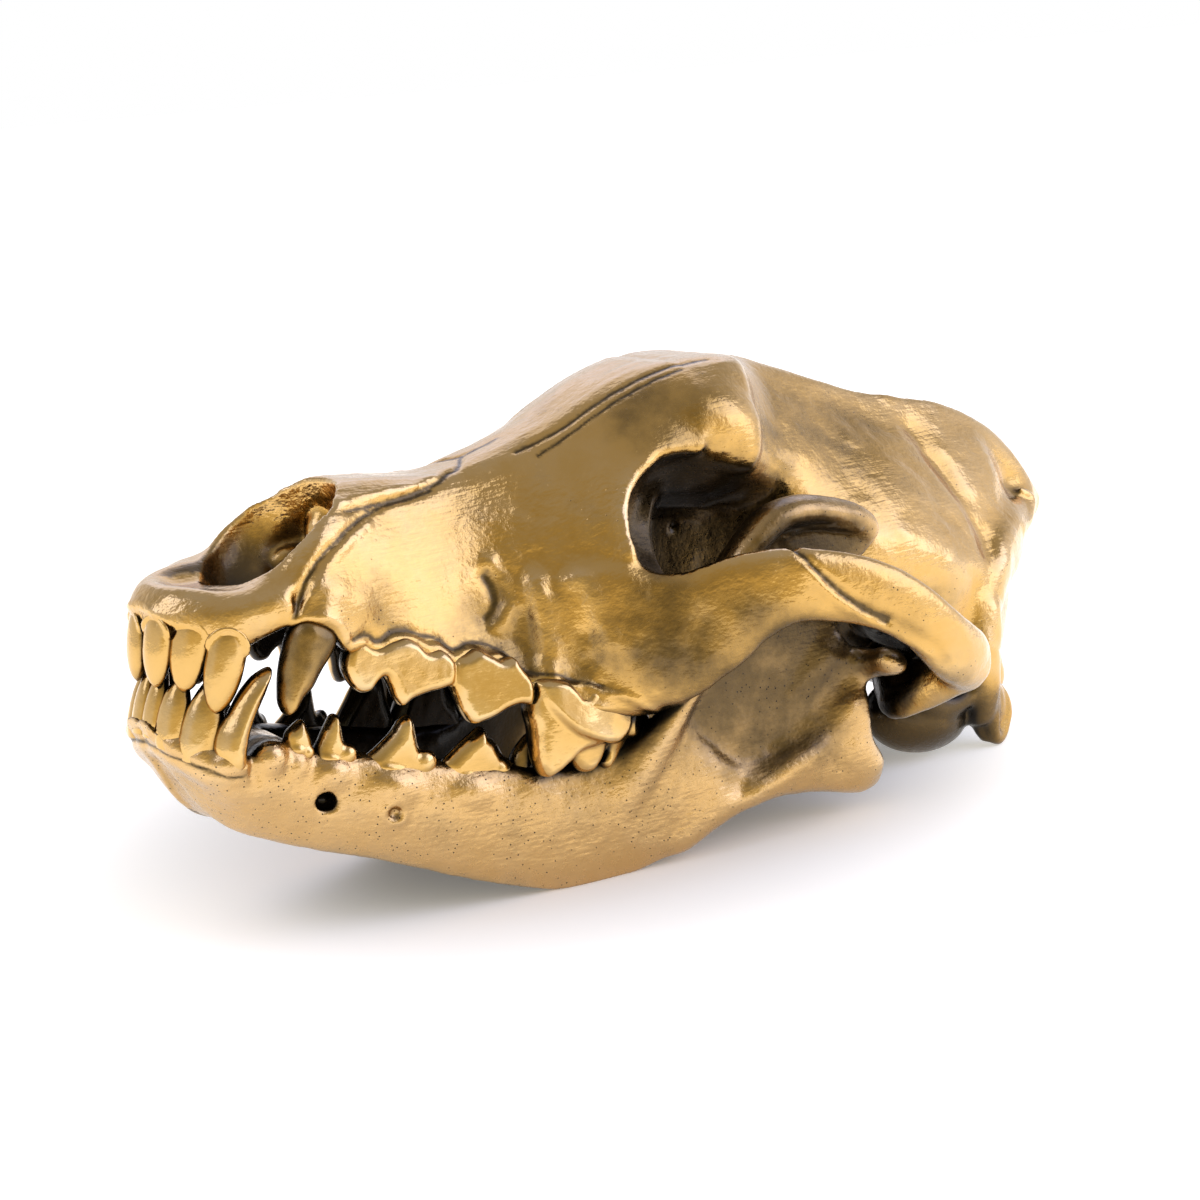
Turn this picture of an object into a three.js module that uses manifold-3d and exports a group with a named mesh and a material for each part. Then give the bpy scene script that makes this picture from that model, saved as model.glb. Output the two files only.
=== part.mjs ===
// Life-size cast brass wolf skull: one casting for the cranium, one for the lower jaw.
// Millimetres, +Z up. The nose points to -X, the near (left) side faces -Y.
// Shapes are laid out in skull axes: x back from the front of the premaxilla,
// y to the animal's right, z up from the gum line of the upper teeth.
// The whole skull is then pitched and lowered onto the floor.
import * as THREE from 'three';
import { mergeVertices } from 'three/addons/utils/BufferGeometryUtils.js';
import { ParametricGeometry } from 'three/addons/geometries/ParametricGeometry.js';
import Module from 'manifold-3d';

const wasm = await Module();
wasm.setup();

// ---- driving dimensions -------------------------------------------------
const FLAT = 0.5;             // depth of the small flats it rests on
const BRASS = 0xb08a45;       // aged cast brass
const FINENESS = 0.4;        // largest error allowed when flat areas are thinned out

// Curves along the length: pairs of [distance back, value].
// Top of the face along the middle, from the nose rim to the forehead.
const FACE_TOP = [
  [-4, 4], [0, 8], [6, 10], [12, 10.6], [19, 17], [25, 25.6], [30, 33], [34.5, 35.4],
  [46, 38.4], [60, 41.6], [75, 49.4], [90, 60], [101, 68.6], [112, 76], [118, 79],
];
const GUM = [[-4, 1], [0, -1], [10, -1], [20, 1.5], [27, 3], [36, -1], [62, -1.5], [80, -3.5], [98, -5], [118, -4]];
const PALATE = [[-4, 2], [0, 1], [15, 4], [40, 7], [80, 9], [100, 8], [118, 5]];
const GUM_HALF = [
  [-4, 5], [0, 10], [4, 13], [9, 16], [16, 18.6], [22, 21.6], [28, 25], [34, 25], [40, 23.6],
  [50, 25.4], [62, 28.4], [72, 31], [80, 34], [88, 38.4], [96, 41], [106, 40.5], [114, 36.5], [118, 33],
];
const ROOT_HALF = [
  [-4, 5], [0, 9.5], [6, 14], [14, 17], [22, 20.5], [28, 24], [35, 24.4], [46, 22.6], [60, 23.6],
  [72, 27], [84, 32.5], [92, 36.4], [100, 41], [108, 45], [118, 48],
];
const CHEEK_HALF = [
  [-4, 4], [0, 8.5], [8, 13.5], [14, 17.6], [20, 20.4], [27, 21.4], [32, 21.6], [42, 20.6], [56, 19.8], [66, 20.8],
  [76, 24.4], [86, 30], [94, 34.6], [104, 40], [118, 42],
];
const BRIDGE_HALF = [
  [-4, 3], [0, 8], [12, 15], [18, 18.4], [25, 18.6], [32, 16.6], [40, 14.8], [50, 14], [62, 14.2], [76, 16.6],
  [88, 22], [97, 27.5], [106, 30], [118, 30.6],
];
const NASAL_HALF = [[-4, 2], [0, 6], [12, 12], [20, 14.6], [26, 13], [32, 9.6], [40, 8.6], [62, 8.2], [82, 9], [100, 12], [118, 16]];

// Forehead and braincase.
const ROOF_TOP = [
  [88, 52], [96, 64], [107, 72.6], [118, 79], [130, 83.8], [144, 86], [158, 84], [175, 79],
  [195, 74.5], [220, 72.5], [240, 68], [250, 60], [255, 50],
];
const ROOF_HALF = [
  [88, 8], [100, 12.5], [112, 17], [124, 20], [134, 20], [146, 13], [160, 10.5], [180, 13], [200, 15],
  [220, 14.5], [240, 12], [256, 8],
];
const BROW_HALF = [
  [88, 16], [97, 24], [106, 28], [118, 29.4], [127, 31], [133, 31.4], [138, 28], [144, 23], [154, 19.5], [168, 22.5],
  [185, 28], [200, 30], [215, 29], [230, 24], [244, 18], [255, 8],
];
const BROW_DROP = [[88, 14], [106, 19], [118, 22], [133, 25], [142, 22], [160, 19], [185, 16], [220, 17], [255, 12]];
const BRAIN_HALF = [
  [88, 14], [100, 17], [120, 17.5], [138, 18.5], [150, 20.5], [162, 25], [176, 31], [190, 34.5],
  [204, 35], [216, 32.6], [226, 29], [236, 24.4], [244, 20], [250, 15], [255, 9],
];
const BRAIN_MID = [[88, 42], [120, 44], [150, 48], [176, 46], [204, 43], [230, 38], [256, 30]];
const BASE_HALF = [
  [88, 12], [110, 13.5], [130, 12], [150, 12], [165, 16], [180, 24], [200, 28], [216, 27], [230, 23],
  [242, 19], [255, 9],
];
const BASE_FLOOR = [[88, 22], [104, 16], [125, 13.5], [150, 13], [175, 12], [200, 11], [230, 9], [246, 9], [256, 14]];

// Lower jaw, left side: edges, outside face and thickness along the length.
const JAW_TOP = [
  [1, -21], [8, -24], [16, -28], [22, -26], [32, -24.6], [54, -24.5], [80, -23], [96, -20], [107, -15.6],
  [117, -12.6], [127, -13], [138, -13], [154, -7], [166, -3], [176, -6],
];
const JAW_BOTTOM = [
  [1, -24], [4, -28], [8, -32.5], [13, -37.4], [18, -41.2], [26, -44.6], [40, -45.9], [55, -46.4], [72, -47.8],
  [88, -48.8], [100, -48.2], [110, -45.6], [120, -40.4], [130, -32.6], [142, -23.6], [156, -17.4], [168, -15.2], [176, -14.6],
];
const JAW_OUTSIDE = [
  [1, 7], [6, 12.4], [14, 17.8], [22, 20.2], [34, 21.6], [54, 26.4], [73, 30], [90, 33.4], [110, 37.6],
  [128, 42], [142, 44.6], [160, 46.4], [176, 45.6],
];
const JAW_THICK = [
  [1, 6], [8, 10], [20, 12.5], [40, 11.5], [70, 11.5], [95, 12.5], [112, 11], [126, 8.4], [142, 7], [166, 6.4], [176, 4],
];

// How far the jaw's lower edge stands from the middle: the halves meet under the chin.
const JAW_KEEL = [
  [1, 3], [8, 3.6], [17, 5.6], [26, 10], [36, 14], [54, 20], [73, 25], [90, 29], [110, 33.4], [130, 38.6],
  [150, 42.6], [176, 43.6],
];

// ---- small helpers --------------------------------------------------------
// A smooth curve through [distance, value] pairs that never overshoots them.
function through(pairs) {
  const n = pairs.length;
  const slope = [];
  for (let i = 0; i < n - 1; i++) {
    slope.push((pairs[i + 1][1] - pairs[i][1]) / (pairs[i + 1][0] - pairs[i][0]));
  }
  const tangent = [slope[0]];
  for (let i = 1; i < n - 1; i++) {
    const a = slope[i - 1];
    const b = slope[i];
    tangent.push(a * b <= 0 ? 0 : (2 * a * b) / (a + b));
  }
  tangent.push(slope[n - 2]);
  return (x) => {
    if (x <= pairs[0][0]) return pairs[0][1];
    if (x >= pairs[n - 1][0]) return pairs[n - 1][1];
    let i = 0;
    while (x > pairs[i + 1][0]) i++;
    const h = pairs[i + 1][0] - pairs[i][0];
    const t = (x - pairs[i][0]) / h;
    const t2 = t * t;
    const t3 = t2 * t;
    return (2 * t3 - 3 * t2 + 1) * pairs[i][1] + (t3 - 2 * t2 + t) * h * tangent[i]
      + (3 * t2 - 2 * t3) * pairs[i + 1][1] + (t3 - t2) * h * tangent[i + 1];
  };
}

// Turns a closed three.js geometry into a manifold solid.
function solid(geometry) {
  const bare = new THREE.BufferGeometry();
  bare.setAttribute('position', geometry.attributes.position);
  if (geometry.index) bare.setIndex(geometry.index);
  const merged = mergeVertices(bare, 1e-3);
  const kept = [];
  const ids = merged.index.array;
  for (let i = 0; i < ids.length; i += 3) {
    const [a, b, c] = [ids[i], ids[i + 1], ids[i + 2]];
    if (a !== b && b !== c && c !== a) kept.push(a, b, c);
  }
  const made = new wasm.Manifold(new wasm.Mesh({
    numProp: 3,
    vertProperties: Float32Array.from(merged.attributes.position.array),
    triVerts: Uint32Array.from(kept),
  }));
  if (made.volume() < 0) throw new Error('a shape faces inward');
  return made;
}

// The same solid on the other side of the skull.
const mirrored = (shape) => shape.mirror([0, 1, 0]);
const bothSides = (shape) => shape.add(mirrored(shape));
const joinAll = (shapes) => shapes.reduce((sum, shape) => sum.add(shape));

// Skins a row of closed rings, shutting both ends with flat fans.
function skin(ringAt, start, end, around, along) {
  const place = (u, v, target) => {
    const step = Math.round(v * (along + 2));
    const t = THREE.MathUtils.clamp((step - 1) / along, 0, 1);
    const ring = ringAt(start + (end - start) * t);
    if (step === 0 || step === along + 2) {
      const middle = new THREE.Vector3();
      for (let i = 0; i < around; i++) middle.add(ring(i / around));
      target.copy(middle.divideScalar(around));
    } else {
      target.copy(ring((Math.round(u * around) % around) / around));
    }
  };
  return solid(new ParametricGeometry(place, around, along + 2));
}

// A ring at distance x from half of its outline, bottom middle to top middle, as [half width, height].
function ringFromHalf(x, half) {
  const right = half.map(([w, z]) => new THREE.Vector3(x, w, z));
  const left = half.slice(1, -1).reverse().map(([w, z]) => new THREE.Vector3(x, -w, z));
  const loop = new THREE.CatmullRomCurve3([...right, ...left], true, 'centripetal');
  return (u) => loop.getPoint(u);
}

// A limb: an oval bar along stations [x, y, z, half thickness sideways, half height], round-ended.
function limb(stations, around = 10, along = 14, boxy = 1) {
  const path = new THREE.CatmullRomCurve3(stations.map((s) => new THREE.Vector3(s[0], s[1], s[2])), false, 'centripetal');
  const last = stations.length - 1;
  const wide = through(stations.map((s, i) => [i / last, s[3]]));
  const tall = through(stations.map((s, i) => [i / last, s[4]]));
  const place = (u, v, target) => {
    const t = 0.5 - 0.5 * Math.cos(Math.PI * v);
    const centre = path.getPoint(t);
    const ahead = path.getTangent(t);
    const side = new THREE.Vector3(-ahead.y, ahead.x, 0).normalize();
    const rise = new THREE.Vector3().crossVectors(ahead, side).normalize();
    const cap = Math.sqrt(Math.max(0, 1 - Math.pow(Math.abs(2 * v - 1), 8)));
    const angle = 2 * Math.PI * u;
    const across = Math.sign(Math.cos(angle)) * Math.pow(Math.abs(Math.cos(angle)), boxy);
    const up = Math.sign(Math.sin(angle)) * Math.pow(Math.abs(Math.sin(angle)), boxy);
    target.copy(centre)
      .addScaledVector(side, cap * wide(t) * across)
      .addScaledVector(rise, cap * tall(t) * up);
  };
  const made = new ParametricGeometry(place, around, along);
  return solid(made);
}

// An egg shape with its own half sizes, turned about Y by a number of degrees.
function egg(centre, half, turnY = 0, fine = 12) {
  const ball = new THREE.SphereGeometry(1, fine, Math.round(fine * 0.7));
  ball.scale(half[0], half[1], half[2]);
  ball.rotateY(THREE.MathUtils.degToRad(turnY));
  ball.translate(centre[0], centre[1], centre[2]);
  return solid(ball);
}

// A plate: an outline in the side view, thick across, leaning outward toward the back and the top.
function plate(outline, middleY, thick, swing, lean) {
  const loop = new THREE.CatmullRomCurve3(outline.map(([x, z]) => new THREE.Vector3(x, z, 0)), true, 'centripetal');
  const edge = loop.getPoints(Math.round(outline.length * 1.6)).map((p) => new THREE.Vector2(p.x, p.y));
  edge.pop();
  const body = new THREE.ExtrudeGeometry(new THREE.Shape(edge), {
    depth: thick * 0.4, bevelEnabled: true, bevelThickness: thick * 0.3, bevelSize: thick * 0.3,
    bevelOffset: -thick * 0.3, bevelSegments: 1, steps: 1,
  });
  body.translate(0, 0, -thick * 0.2);
  body.rotateX(Math.PI / 2);
  const spots = body.attributes.position;
  const [x0, z0] = outline[0];
  for (let i = 0; i < spots.count; i++) {
    const x = spots.getX(i);
    const z = spots.getZ(i);
    spots.setY(i, spots.getY(i) + middleY - swing * (x - x0) - lean * (z - z0));
  }
  return solid(body);
}

// One cusp of a tooth: an oval crown from the gum to its tip, leaning as asked.
const CROWN = [[0, -0.3], [1, 0.06], [0.86, 0.42], [0.46, 0.8], [0, 1]];
function cusp([x, y, gum], [tipX, tipY, tip], halfLong, halfAcross, around = 6) {
  const height = tip - gum;
  const profile = CROWN.map(([r, t]) => new THREE.Vector2(r, t));
  const crown = new THREE.LatheGeometry(profile, around);
  crown.rotateX(Math.PI / 2);
  crown.scale(halfLong, halfAcross, height);
  if (height < 0) crown.index.array.reverse();
  const spots = crown.attributes.position;
  for (let i = 0; i < spots.count; i++) {
    const t = spots.getZ(i) / height;
    spots.setX(i, spots.getX(i) + x + (tipX - x) * t);
    spots.setY(i, spots.getY(i) + y + (tipY - y) * t);
    spots.setZ(i, spots.getZ(i) + gum);
  }
  return solid(crown);
}

// ---- cranium ----------------------------------------------------------------
function faceBody() {
  const top = through(FACE_TOP);
  const gum = through(GUM);
  const palate = through(PALATE);
  const gumHalf = through(GUM_HALF);
  const rootHalf = through(ROOT_HALF);
  const cheekHalf = through(CHEEK_HALF);
  const bridgeHalf = through(BRIDGE_HALF);
  const nasalHalf = through(NASAL_HALF);
  return skin((x) => {
    const low = gum(x);
    const high = top(x);
    const rise = high - low;
    const rim = Math.min(high - 1, low + 9);
    return ringFromHalf(x, [
      [0, palate(x)],
      [Math.max(2, gumHalf(x) - 9), Math.min(low + 2, palate(x))],
      [gumHalf(x), low],
      [rootHalf(x), Math.min(rim, low + 0.3 * rise)],
      [cheekHalf(x), low + 0.46 * rise],
      [bridgeHalf(x), low + 0.78 * rise],
      [nasalHalf(x), low + 0.975 * rise],
      [0, high],
    ]);
  }, -3.5, 118, 22, 15);
}

function braincase() {
  const top = through(ROOF_TOP);
  const roofHalf = through(ROOF_HALF);
  const browHalf = through(BROW_HALF);
  const browDrop = through(BROW_DROP);
  const brainHalf = through(BRAIN_HALF);
  const brainMid = through(BRAIN_MID);
  const baseHalf = through(BASE_HALF);
  const floor = through(BASE_FLOOR);
  return skin((x) => ringFromHalf(x, [
    [0, floor(x)],
    [baseHalf(x), floor(x) + 4],
    [brainHalf(x), brainMid(x)],
    [browHalf(x), top(x) - browDrop(x)],
    [roofHalf(x), top(x) - 2.5],
    [0, top(x)],
  ]), 88, 252, 18, 14);
}

// Ridge along the top of the braincase, ending in the overhanging point at the back.
const crest = () => limb([
  [146, 0, 78, 4, 7], [165, 0, 77, 3.2, 8], [190, 0, 76.5, 3, 8.5], [212, 0, 77, 3.4, 9.4],
  [232, 0, 76.5, 4.6, 11], [250, 0, 72.5, 5, 10.5], [262, 0, 68, 4, 7.5], [269.5, 0, 66.5, 2, 4],
], 6, 9);

// Flared edge between the side and the back of the braincase.
const nuchalWing = () => limb([
  [262, 0, 66, 4, 5], [252, -8, 60, 5, 7], [241, -16.6, 53, 5, 7.4], [231, -23.6, 46, 5, 7.4],
  [225, -28.4, 36, 5, 7], [224, -31, 24, 5.6, 6], [227, -31.4, 12, 5.4, 5], [229, -31.6, 4, 3.6, 3.6],
], 6, 8, 0.8);

// Cheek arch from the face to its root above the jaw joint.
const arch = () => limb([
  [84, -26, 15, 3, 9], [96, -34.6, 14, 4, 14], [106, -41.8, 14.4, 4.4, 15.4], [116, -48.4, 23, 4.2, 10.6],
  [126, -54.6, 32.2, 3.8, 7.2], [140, -60.8, 35.8, 3.8, 5.8], [154, -65.2, 35.6, 3.8, 6], [167, -67.6, 32.6, 4, 7],
  [178, -66.6, 26.8, 4.8, 8.6], [187.6, -61, 22.6, 6.4, 8], [194, -50, 21.5, 7.4, 6.6], [199, -34, 22.5, 8, 6],
], 8, 14, 0.7);

// Shelf that roofs the jaw joint, and the lip behind the joint.
const jointRoof = () => egg([184, -47, 25], [14, 19, 5.5], 8, 8).add(egg([192, -46, 19], [6, 17, 8], 0, 8));
const jointLip = () => limb([
  [190, -28, 15, 4, 4.4], [186, -36, 10.4, 3.8, 5], [183, -43.4, 7.4, 3.6, 5], [184, -50, 10.4, 3.8, 5],
  [186, -58, 16, 4, 5], [187, -65, 21, 3.6, 4],
], 6, 7);

const bulla = () => egg([217, -21.6, 4.8], [15, 11, 10], -8, 10);
const condyle = () => egg([246, -12, 15.5], [6, 8, 8.5], 20, 8);
const paroccipital = () => limb([[228, -31, 14, 4.5, 5], [230.4, -32.4, 5, 3.6, 3.4], [231.8, -33.4, -2.6, 2.8, 2.8]], 6, 6);
const pterygoid = () => limb([[116, -13, 3, 3, 4], [132, -11, 4.5, 2.2, 6.5], [148, -10.5, 6, 2, 7], [160, -11, 7, 1.8, 5]], 6, 6);

// Upper teeth of the left side: [gum x, y, z], [tip x, y, z], half length, half width.
const UPPER_TEETH = [
  [[1.2, -3.2, 0], [-0.6, -3.6, -14.6], 3, 3],
  [[4.4, -9.3, 0], [2.6, -10.2, -14.4], 3.4, 3.2],
  [[10.4, -15.2, 0], [10.4, -16.6, -18.2], 4.6, 4],
  [[28, -22.2, 3], [24.2, -22.3, -16.2], 6.3, 4.6],
  [[41, -23.6, -1], [40.4, -25.2, -8.4], 4.2, 3.2],
  [[51, -25, -1.5], [50.4, -26.8, -10.4], 5.6, 3.6],
  [[58.5, -26.6, -1.6], [59, -28, -7.2], 4.2, 3.2],
  [[67, -29, -2.4], [67, -31, -12], 5.6, 4],
  [[75.5, -31.6, -3], [76, -33.4, -8.6], 4.6, 3.8],
  [[85.6, -36, -3.6], [85.4, -38.6, -20.6], 6.8, 5],
  [[95, -38.4, -4.5], [95.4, -40, -16], 5, 4.4],
  [[103.5, -35.4, -4.5], [103, -39, -14.6], 5, 6.4],
  [[110.6, -32.6, -4], [110.4, -34, -10.6], 3.8, 4.6],
];

const toothRow = (teeth) => teeth.map(([gum, tip, long, across]) => cusp(gum, tip, long, across));

// Everything that is cut away from the cranium.
function craniumHollows() {
  const nose = egg([21.6, 0, 20.8], [9, 17, 17.4], 35.5, 12).add(egg([33, 0, 20], [18, 11.5, 10.6], 4, 6));
  const socket = egg([116, -38, 44], [20, 17, 16.5], -8, 10);
  const socketBack = egg([131, -40, 42], [20, 17, 18], -18, 8);
  const cheekHole = egg([69, -28, 14.6], [6.5, 3.2, 3.6], 12, 7);
  const spinalHole = egg([252, 0, 21], [16, 8.6, 7.6], -8, 8);
  const throat = egg([134, 0, 4], [22, 8.6, 6.5], 0, 8);
  return joinAll([nose, bothSides(socket), bothSides(socketBack), bothSides(cheekHole), spinalHole, throat]);
}

function cranium() {
  const sides = [nuchalWing, bulla, condyle, paroccipital, pterygoid];
  const core = joinAll([faceBody(), braincase(), crest(), ...sides.map((make) => bothSides(make()))]);
  const carved = core.subtract(craniumHollows());
  const outer = [arch(), jointRoof(), jointLip(), ...toothRow(UPPER_TEETH)];
  return carved.add(bothSides(joinAll(outer)));
}

// ---- lower jaw ---------------------------------------------------------------
function jawBody() {
  const top = through(JAW_TOP);
  const bottom = through(JAW_BOTTOM);
  const outside = through(JAW_OUTSIDE);
  const thick = through(JAW_THICK);
  const keel = through(JAW_KEEL);
  return skin((x) => {
    const high = top(x);
    const low = bottom(x);
    const deep = high - low;
    const out = -outside(x);
    const inn = out + thick(x);
    const edge = -keel(x);
    const points = [
      [edge, low], [(2 * edge + out) / 3 - 1, low + 0.1 * deep], [out, low + 0.5 * deep], [out + 0.4, low + 0.82 * deep],
      [out + 2.4, high], [inn - 2, high], [inn, low + 0.6 * deep], [Math.min(inn, edge + 3.4), low + 0.14 * deep],
    ].map(([y, z]) => new THREE.Vector3(x, y, z));
    const loop = new THREE.CatmullRomCurve3(points.reverse(), true, 'centripetal');
    return (u) => loop.getPoint(u);
  }, 1, 176, 12, 17);
}

// Where the two halves meet at the chin.
const chin = () => skin((x) => {
  const top = through(JAW_TOP)(x) + 1;
  const low = through(JAW_BOTTOM)(x) + 0.5;
  const half = through(JAW_OUTSIDE)(x) * 0.6;
  const keel = through(JAW_KEEL)(x);
  return ringFromHalf(x, [[0, low + 0.6], [keel, low + 0.6], [half, (low + top) / 2], [half, top - 2], [0, top - 1]]);
}, 0.8, 38, 10, 6);

// Upright plate that carries the muscle hollow, from the jaw body to the coronoid tip.
const RAMUS = [
  [115, -30], [120, -10], [126, 14], [132, 36], [140, 48], [150, 53], [159, 52], [164.5, 47.6],
  [159, 37], [160.6, 26], [167, 18], [171, 8], [170.4, -1], [176, -6.6], [177.4, -13], [160, -15], [142, -22], [126, -34],
];
const ramus = () => plate(RAMUS, -34.6, 4.6, 0.13, 0.02);
const ramusFront = () => limb([
  [108, -30, -34, 3, 4], [117, -36, -20, 3.2, 4.4], [122.6, -38, -3, 3.2, 4], [129, -39.6, 17, 3.2, 3.6],
  [135, -41.2, 38, 3.2, 3.6], [146, -42, 49.4, 3, 3.4], [157, -42.6, 50.8, 2.8, 3], [163, -42.8, 47.2, 2.4, 2.6],
], 6, 10);
const jointKnob = () => limb([[169, -28, 13, 3.2, 4], [169.4, -38, 14.4, 4, 5], [170, -47, 16, 4.2, 4.6], [170.6, -53, 17.4, 2.6, 3]], 8, 7);

// Lower teeth of the left side.
const LOWER_TEETH = [
  [[2.6, -2.6, -23.4], [1.2, -2.4, -11.6], 2.6, 2.5],
  [[4.6, -7.2, -23.8], [4, -7, -11.8], 3, 2.7],
  [[8.6, -12.2, -24.4], [7.6, -11.4, -12.2], 3.4, 3.2],
  [[16.2, -17, -26.4], [19, -19.6, -6.6], 5.6, 4.4],
  [[29, -18.4, -24.6], [29.4, -19, -17.4], 3.6, 2.8],
  [[38.5, -19.6, -24.4], [37.6, -20, -14.8], 5.2, 3.1],
  [[55, -22.8, -24.4], [54.2, -23.4, -13.2], 6, 3.4],
  [[73, -25.8, -23.4], [72.6, -26.6, -13.2], 6.4, 3.6],
  [[90, -27.4, -22.6], [89, -27.8, -9.6], 8.4, 3.8],
];

function mandible() {
  const half = joinAll([jawBody(), ramus(), ramusFront(), jointKnob(), ...toothRow(LOWER_TEETH)]);
  const holes = egg([38.5, -22, -34], [2.6, 3, 2.4], 0, 6);
  return bothSides(half.subtract(holes)).add(chin());
}

// ---- assembly -------------------------------------------------------------------
function asMesh(shape, name) {
  const pieces = shape.simplify(FINENESS).decompose();
  const result = pieces.sort((a, b) => b.volume() - a.volume())[0].getMesh();
  const geometry = new THREE.BufferGeometry();
  geometry.setAttribute('position', new THREE.BufferAttribute(Float32Array.from(result.vertProperties), 3));
  geometry.setIndex(new THREE.BufferAttribute(Uint32Array.from(result.triVerts), 1));
  geometry.computeVertexNormals();
  const material = new THREE.MeshStandardMaterial({ color: BRASS, roughness: 0.35, metalness: 1 });
  const mesh = new THREE.Mesh(geometry, material);
  mesh.name = name;
  return mesh;
}

// The pitch at which the tips behind the ears and the bottom of the jaw are at one level.
function restPitch(upper, lower) {
  const lowest = (shape, pitch) => shape.rotate([0, pitch, 0]).boundingBox().min[2];
  let [level, steep] = [0, 30];
  while (steep - level > 0.01) {
    const middle = (level + steep) / 2;
    if (lowest(upper, middle) > lowest(lower, middle)) level = middle;
    else steep = middle;
  }
  return level;
}

// Lays the skull down as it rests, on small flats, centred over the origin.
function settle(upper, lower) {
  const pitch = restPitch(upper, lower);
  const pitched = [upper, lower].map((shape) => shape.rotate([0, pitch, 0]));
  const boxes = pitched.map((shape) => shape.boundingBox());
  const low = [0, 1, 2].map((k) => Math.min(...boxes.map((box) => box.min[k])));
  const high = [0, 1, 2].map((k) => Math.max(...boxes.map((box) => box.max[k])));
  const shift = [-(low[0] + high[0]) / 2, -(low[1] + high[1]) / 2, -low[2] - FLAT];
  const ground = solid(new THREE.BoxGeometry(400, 400, 40).translate(0, 0, -20));
  return pitched.map((shape) => shape.translate(shift).subtract(ground));
}

const [top, bottom] = settle(cranium(), mandible());
const skull = new THREE.Group();
skull.name = 'wolf_skull';
skull.add(asMesh(top, 'cranium'), asMesh(bottom, 'mandible'));
export default skull;
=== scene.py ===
# %% [markdown]
# # A wolf skull cast in brass
#
# The object is a life-size bronze-founder's piece: a wolf's skull in two brass castings, the
# cranium and the lower jaw, polished on the high places and left brown in the hollows.
# It is modelled here the way the pattern for such a casting is: as clay. A block of clay is a
# grid of distances to its surface, so shapes can be joined with soft fillets, pressed in and
# raised along lines, and only at the end is the skin turned into a mesh.

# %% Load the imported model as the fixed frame
import math

import bpy
import numpy as np
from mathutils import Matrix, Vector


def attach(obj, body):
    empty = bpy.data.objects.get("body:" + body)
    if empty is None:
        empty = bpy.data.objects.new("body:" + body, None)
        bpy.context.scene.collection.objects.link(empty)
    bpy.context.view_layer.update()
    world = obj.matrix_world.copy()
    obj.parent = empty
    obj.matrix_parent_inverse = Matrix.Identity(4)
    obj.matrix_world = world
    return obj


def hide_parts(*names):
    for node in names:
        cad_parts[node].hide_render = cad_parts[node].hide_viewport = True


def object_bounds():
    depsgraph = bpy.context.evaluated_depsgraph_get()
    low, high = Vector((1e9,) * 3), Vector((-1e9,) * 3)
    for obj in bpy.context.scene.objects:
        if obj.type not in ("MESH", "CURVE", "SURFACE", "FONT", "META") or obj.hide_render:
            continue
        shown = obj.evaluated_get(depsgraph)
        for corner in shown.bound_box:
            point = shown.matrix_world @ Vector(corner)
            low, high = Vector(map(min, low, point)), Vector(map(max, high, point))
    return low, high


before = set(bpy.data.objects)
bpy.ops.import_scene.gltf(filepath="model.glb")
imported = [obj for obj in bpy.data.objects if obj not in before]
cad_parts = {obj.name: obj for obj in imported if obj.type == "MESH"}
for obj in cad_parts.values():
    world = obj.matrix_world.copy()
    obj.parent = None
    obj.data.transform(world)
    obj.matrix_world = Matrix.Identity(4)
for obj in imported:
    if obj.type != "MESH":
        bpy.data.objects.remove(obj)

import openvdb
from mathutils import Matrix, Vector

CAD_LOW, CAD_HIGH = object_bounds()
print("box of the solids, mm:", [round(1000 * (h - l), 1) for l, h in zip(CAD_LOW, CAD_HIGH)])

# %% [markdown]
# ## The camera
#
# The camera comes first, so that every piece after it can be judged in the right view.
# It looks at the skull from its left front, a little from above. The skull rests nose-up on
# its jaw and its skull base, and the camera is turned with it, which is where the roll comes from.

# %% Camera
CAMERA_AT = Vector((-0.34634, -0.45823, 0.18544))
LOOK_ALONG = Vector((0.57111, 0.79030, -0.22195))
PICTURE_RIGHT = Vector((0.79634, -0.59901, -0.08381))
LENS_MM = 69.9


def add_camera():
    data = bpy.data.cameras.new("camera")
    data.lens = LENS_MM
    data.sensor_width = 36
    data.clip_start = 0.01
    camera = bpy.data.objects.new("camera", data)
    bpy.context.scene.collection.objects.link(camera)
    back = -LOOK_ALONG.normalized()
    right = PICTURE_RIGHT.normalized()
    up = back.cross(right)
    turn = Matrix((right, up, back)).transposed().to_4x4()
    camera.matrix_world = Matrix.Translation(CAMERA_AT) @ turn
    bpy.context.scene.camera = camera
    return camera


camera = add_camera()
away = (CAMERA_AT - (CAD_LOW + CAD_HIGH) / 2).length
print("camera is", round(away, 3), "m from the middle of the skull")

# %% [markdown]
# ## Skull axes
#
# A skull is easiest to lay out lying level: x runs back from the front of the upper jaw, y to
# the side and z up from the gum line, all in millimetres. Both halves are alike, so only one
# half is modelled, with y counted outwards from the middle, and it is mirrored at the end.
# The finished mesh is then pitched and lowered onto the floor, exactly as the solids are.

# %% From skull axes to the place it rests
REST_PITCH = math.radians(19.16748)
REST_SHIFT_MM = (-134.83407, 0.0, 78.06359)


def to_rest(points):
    """Points in skull axes, in mm, moved to where the skull rests, in metres."""
    c, s = math.cos(REST_PITCH), math.sin(REST_PITCH)
    x = c * points[:, 0] + s * points[:, 2] + REST_SHIFT_MM[0]
    y = points[:, 1] + REST_SHIFT_MM[1]
    z = -s * points[:, 0] + c * points[:, 2] + REST_SHIFT_MM[2]
    return np.stack([x, y, z], 1) / 1000


print("the origin of the skull axes rests at", to_rest(np.zeros((1, 3)))[0].round(4), "m")

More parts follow.
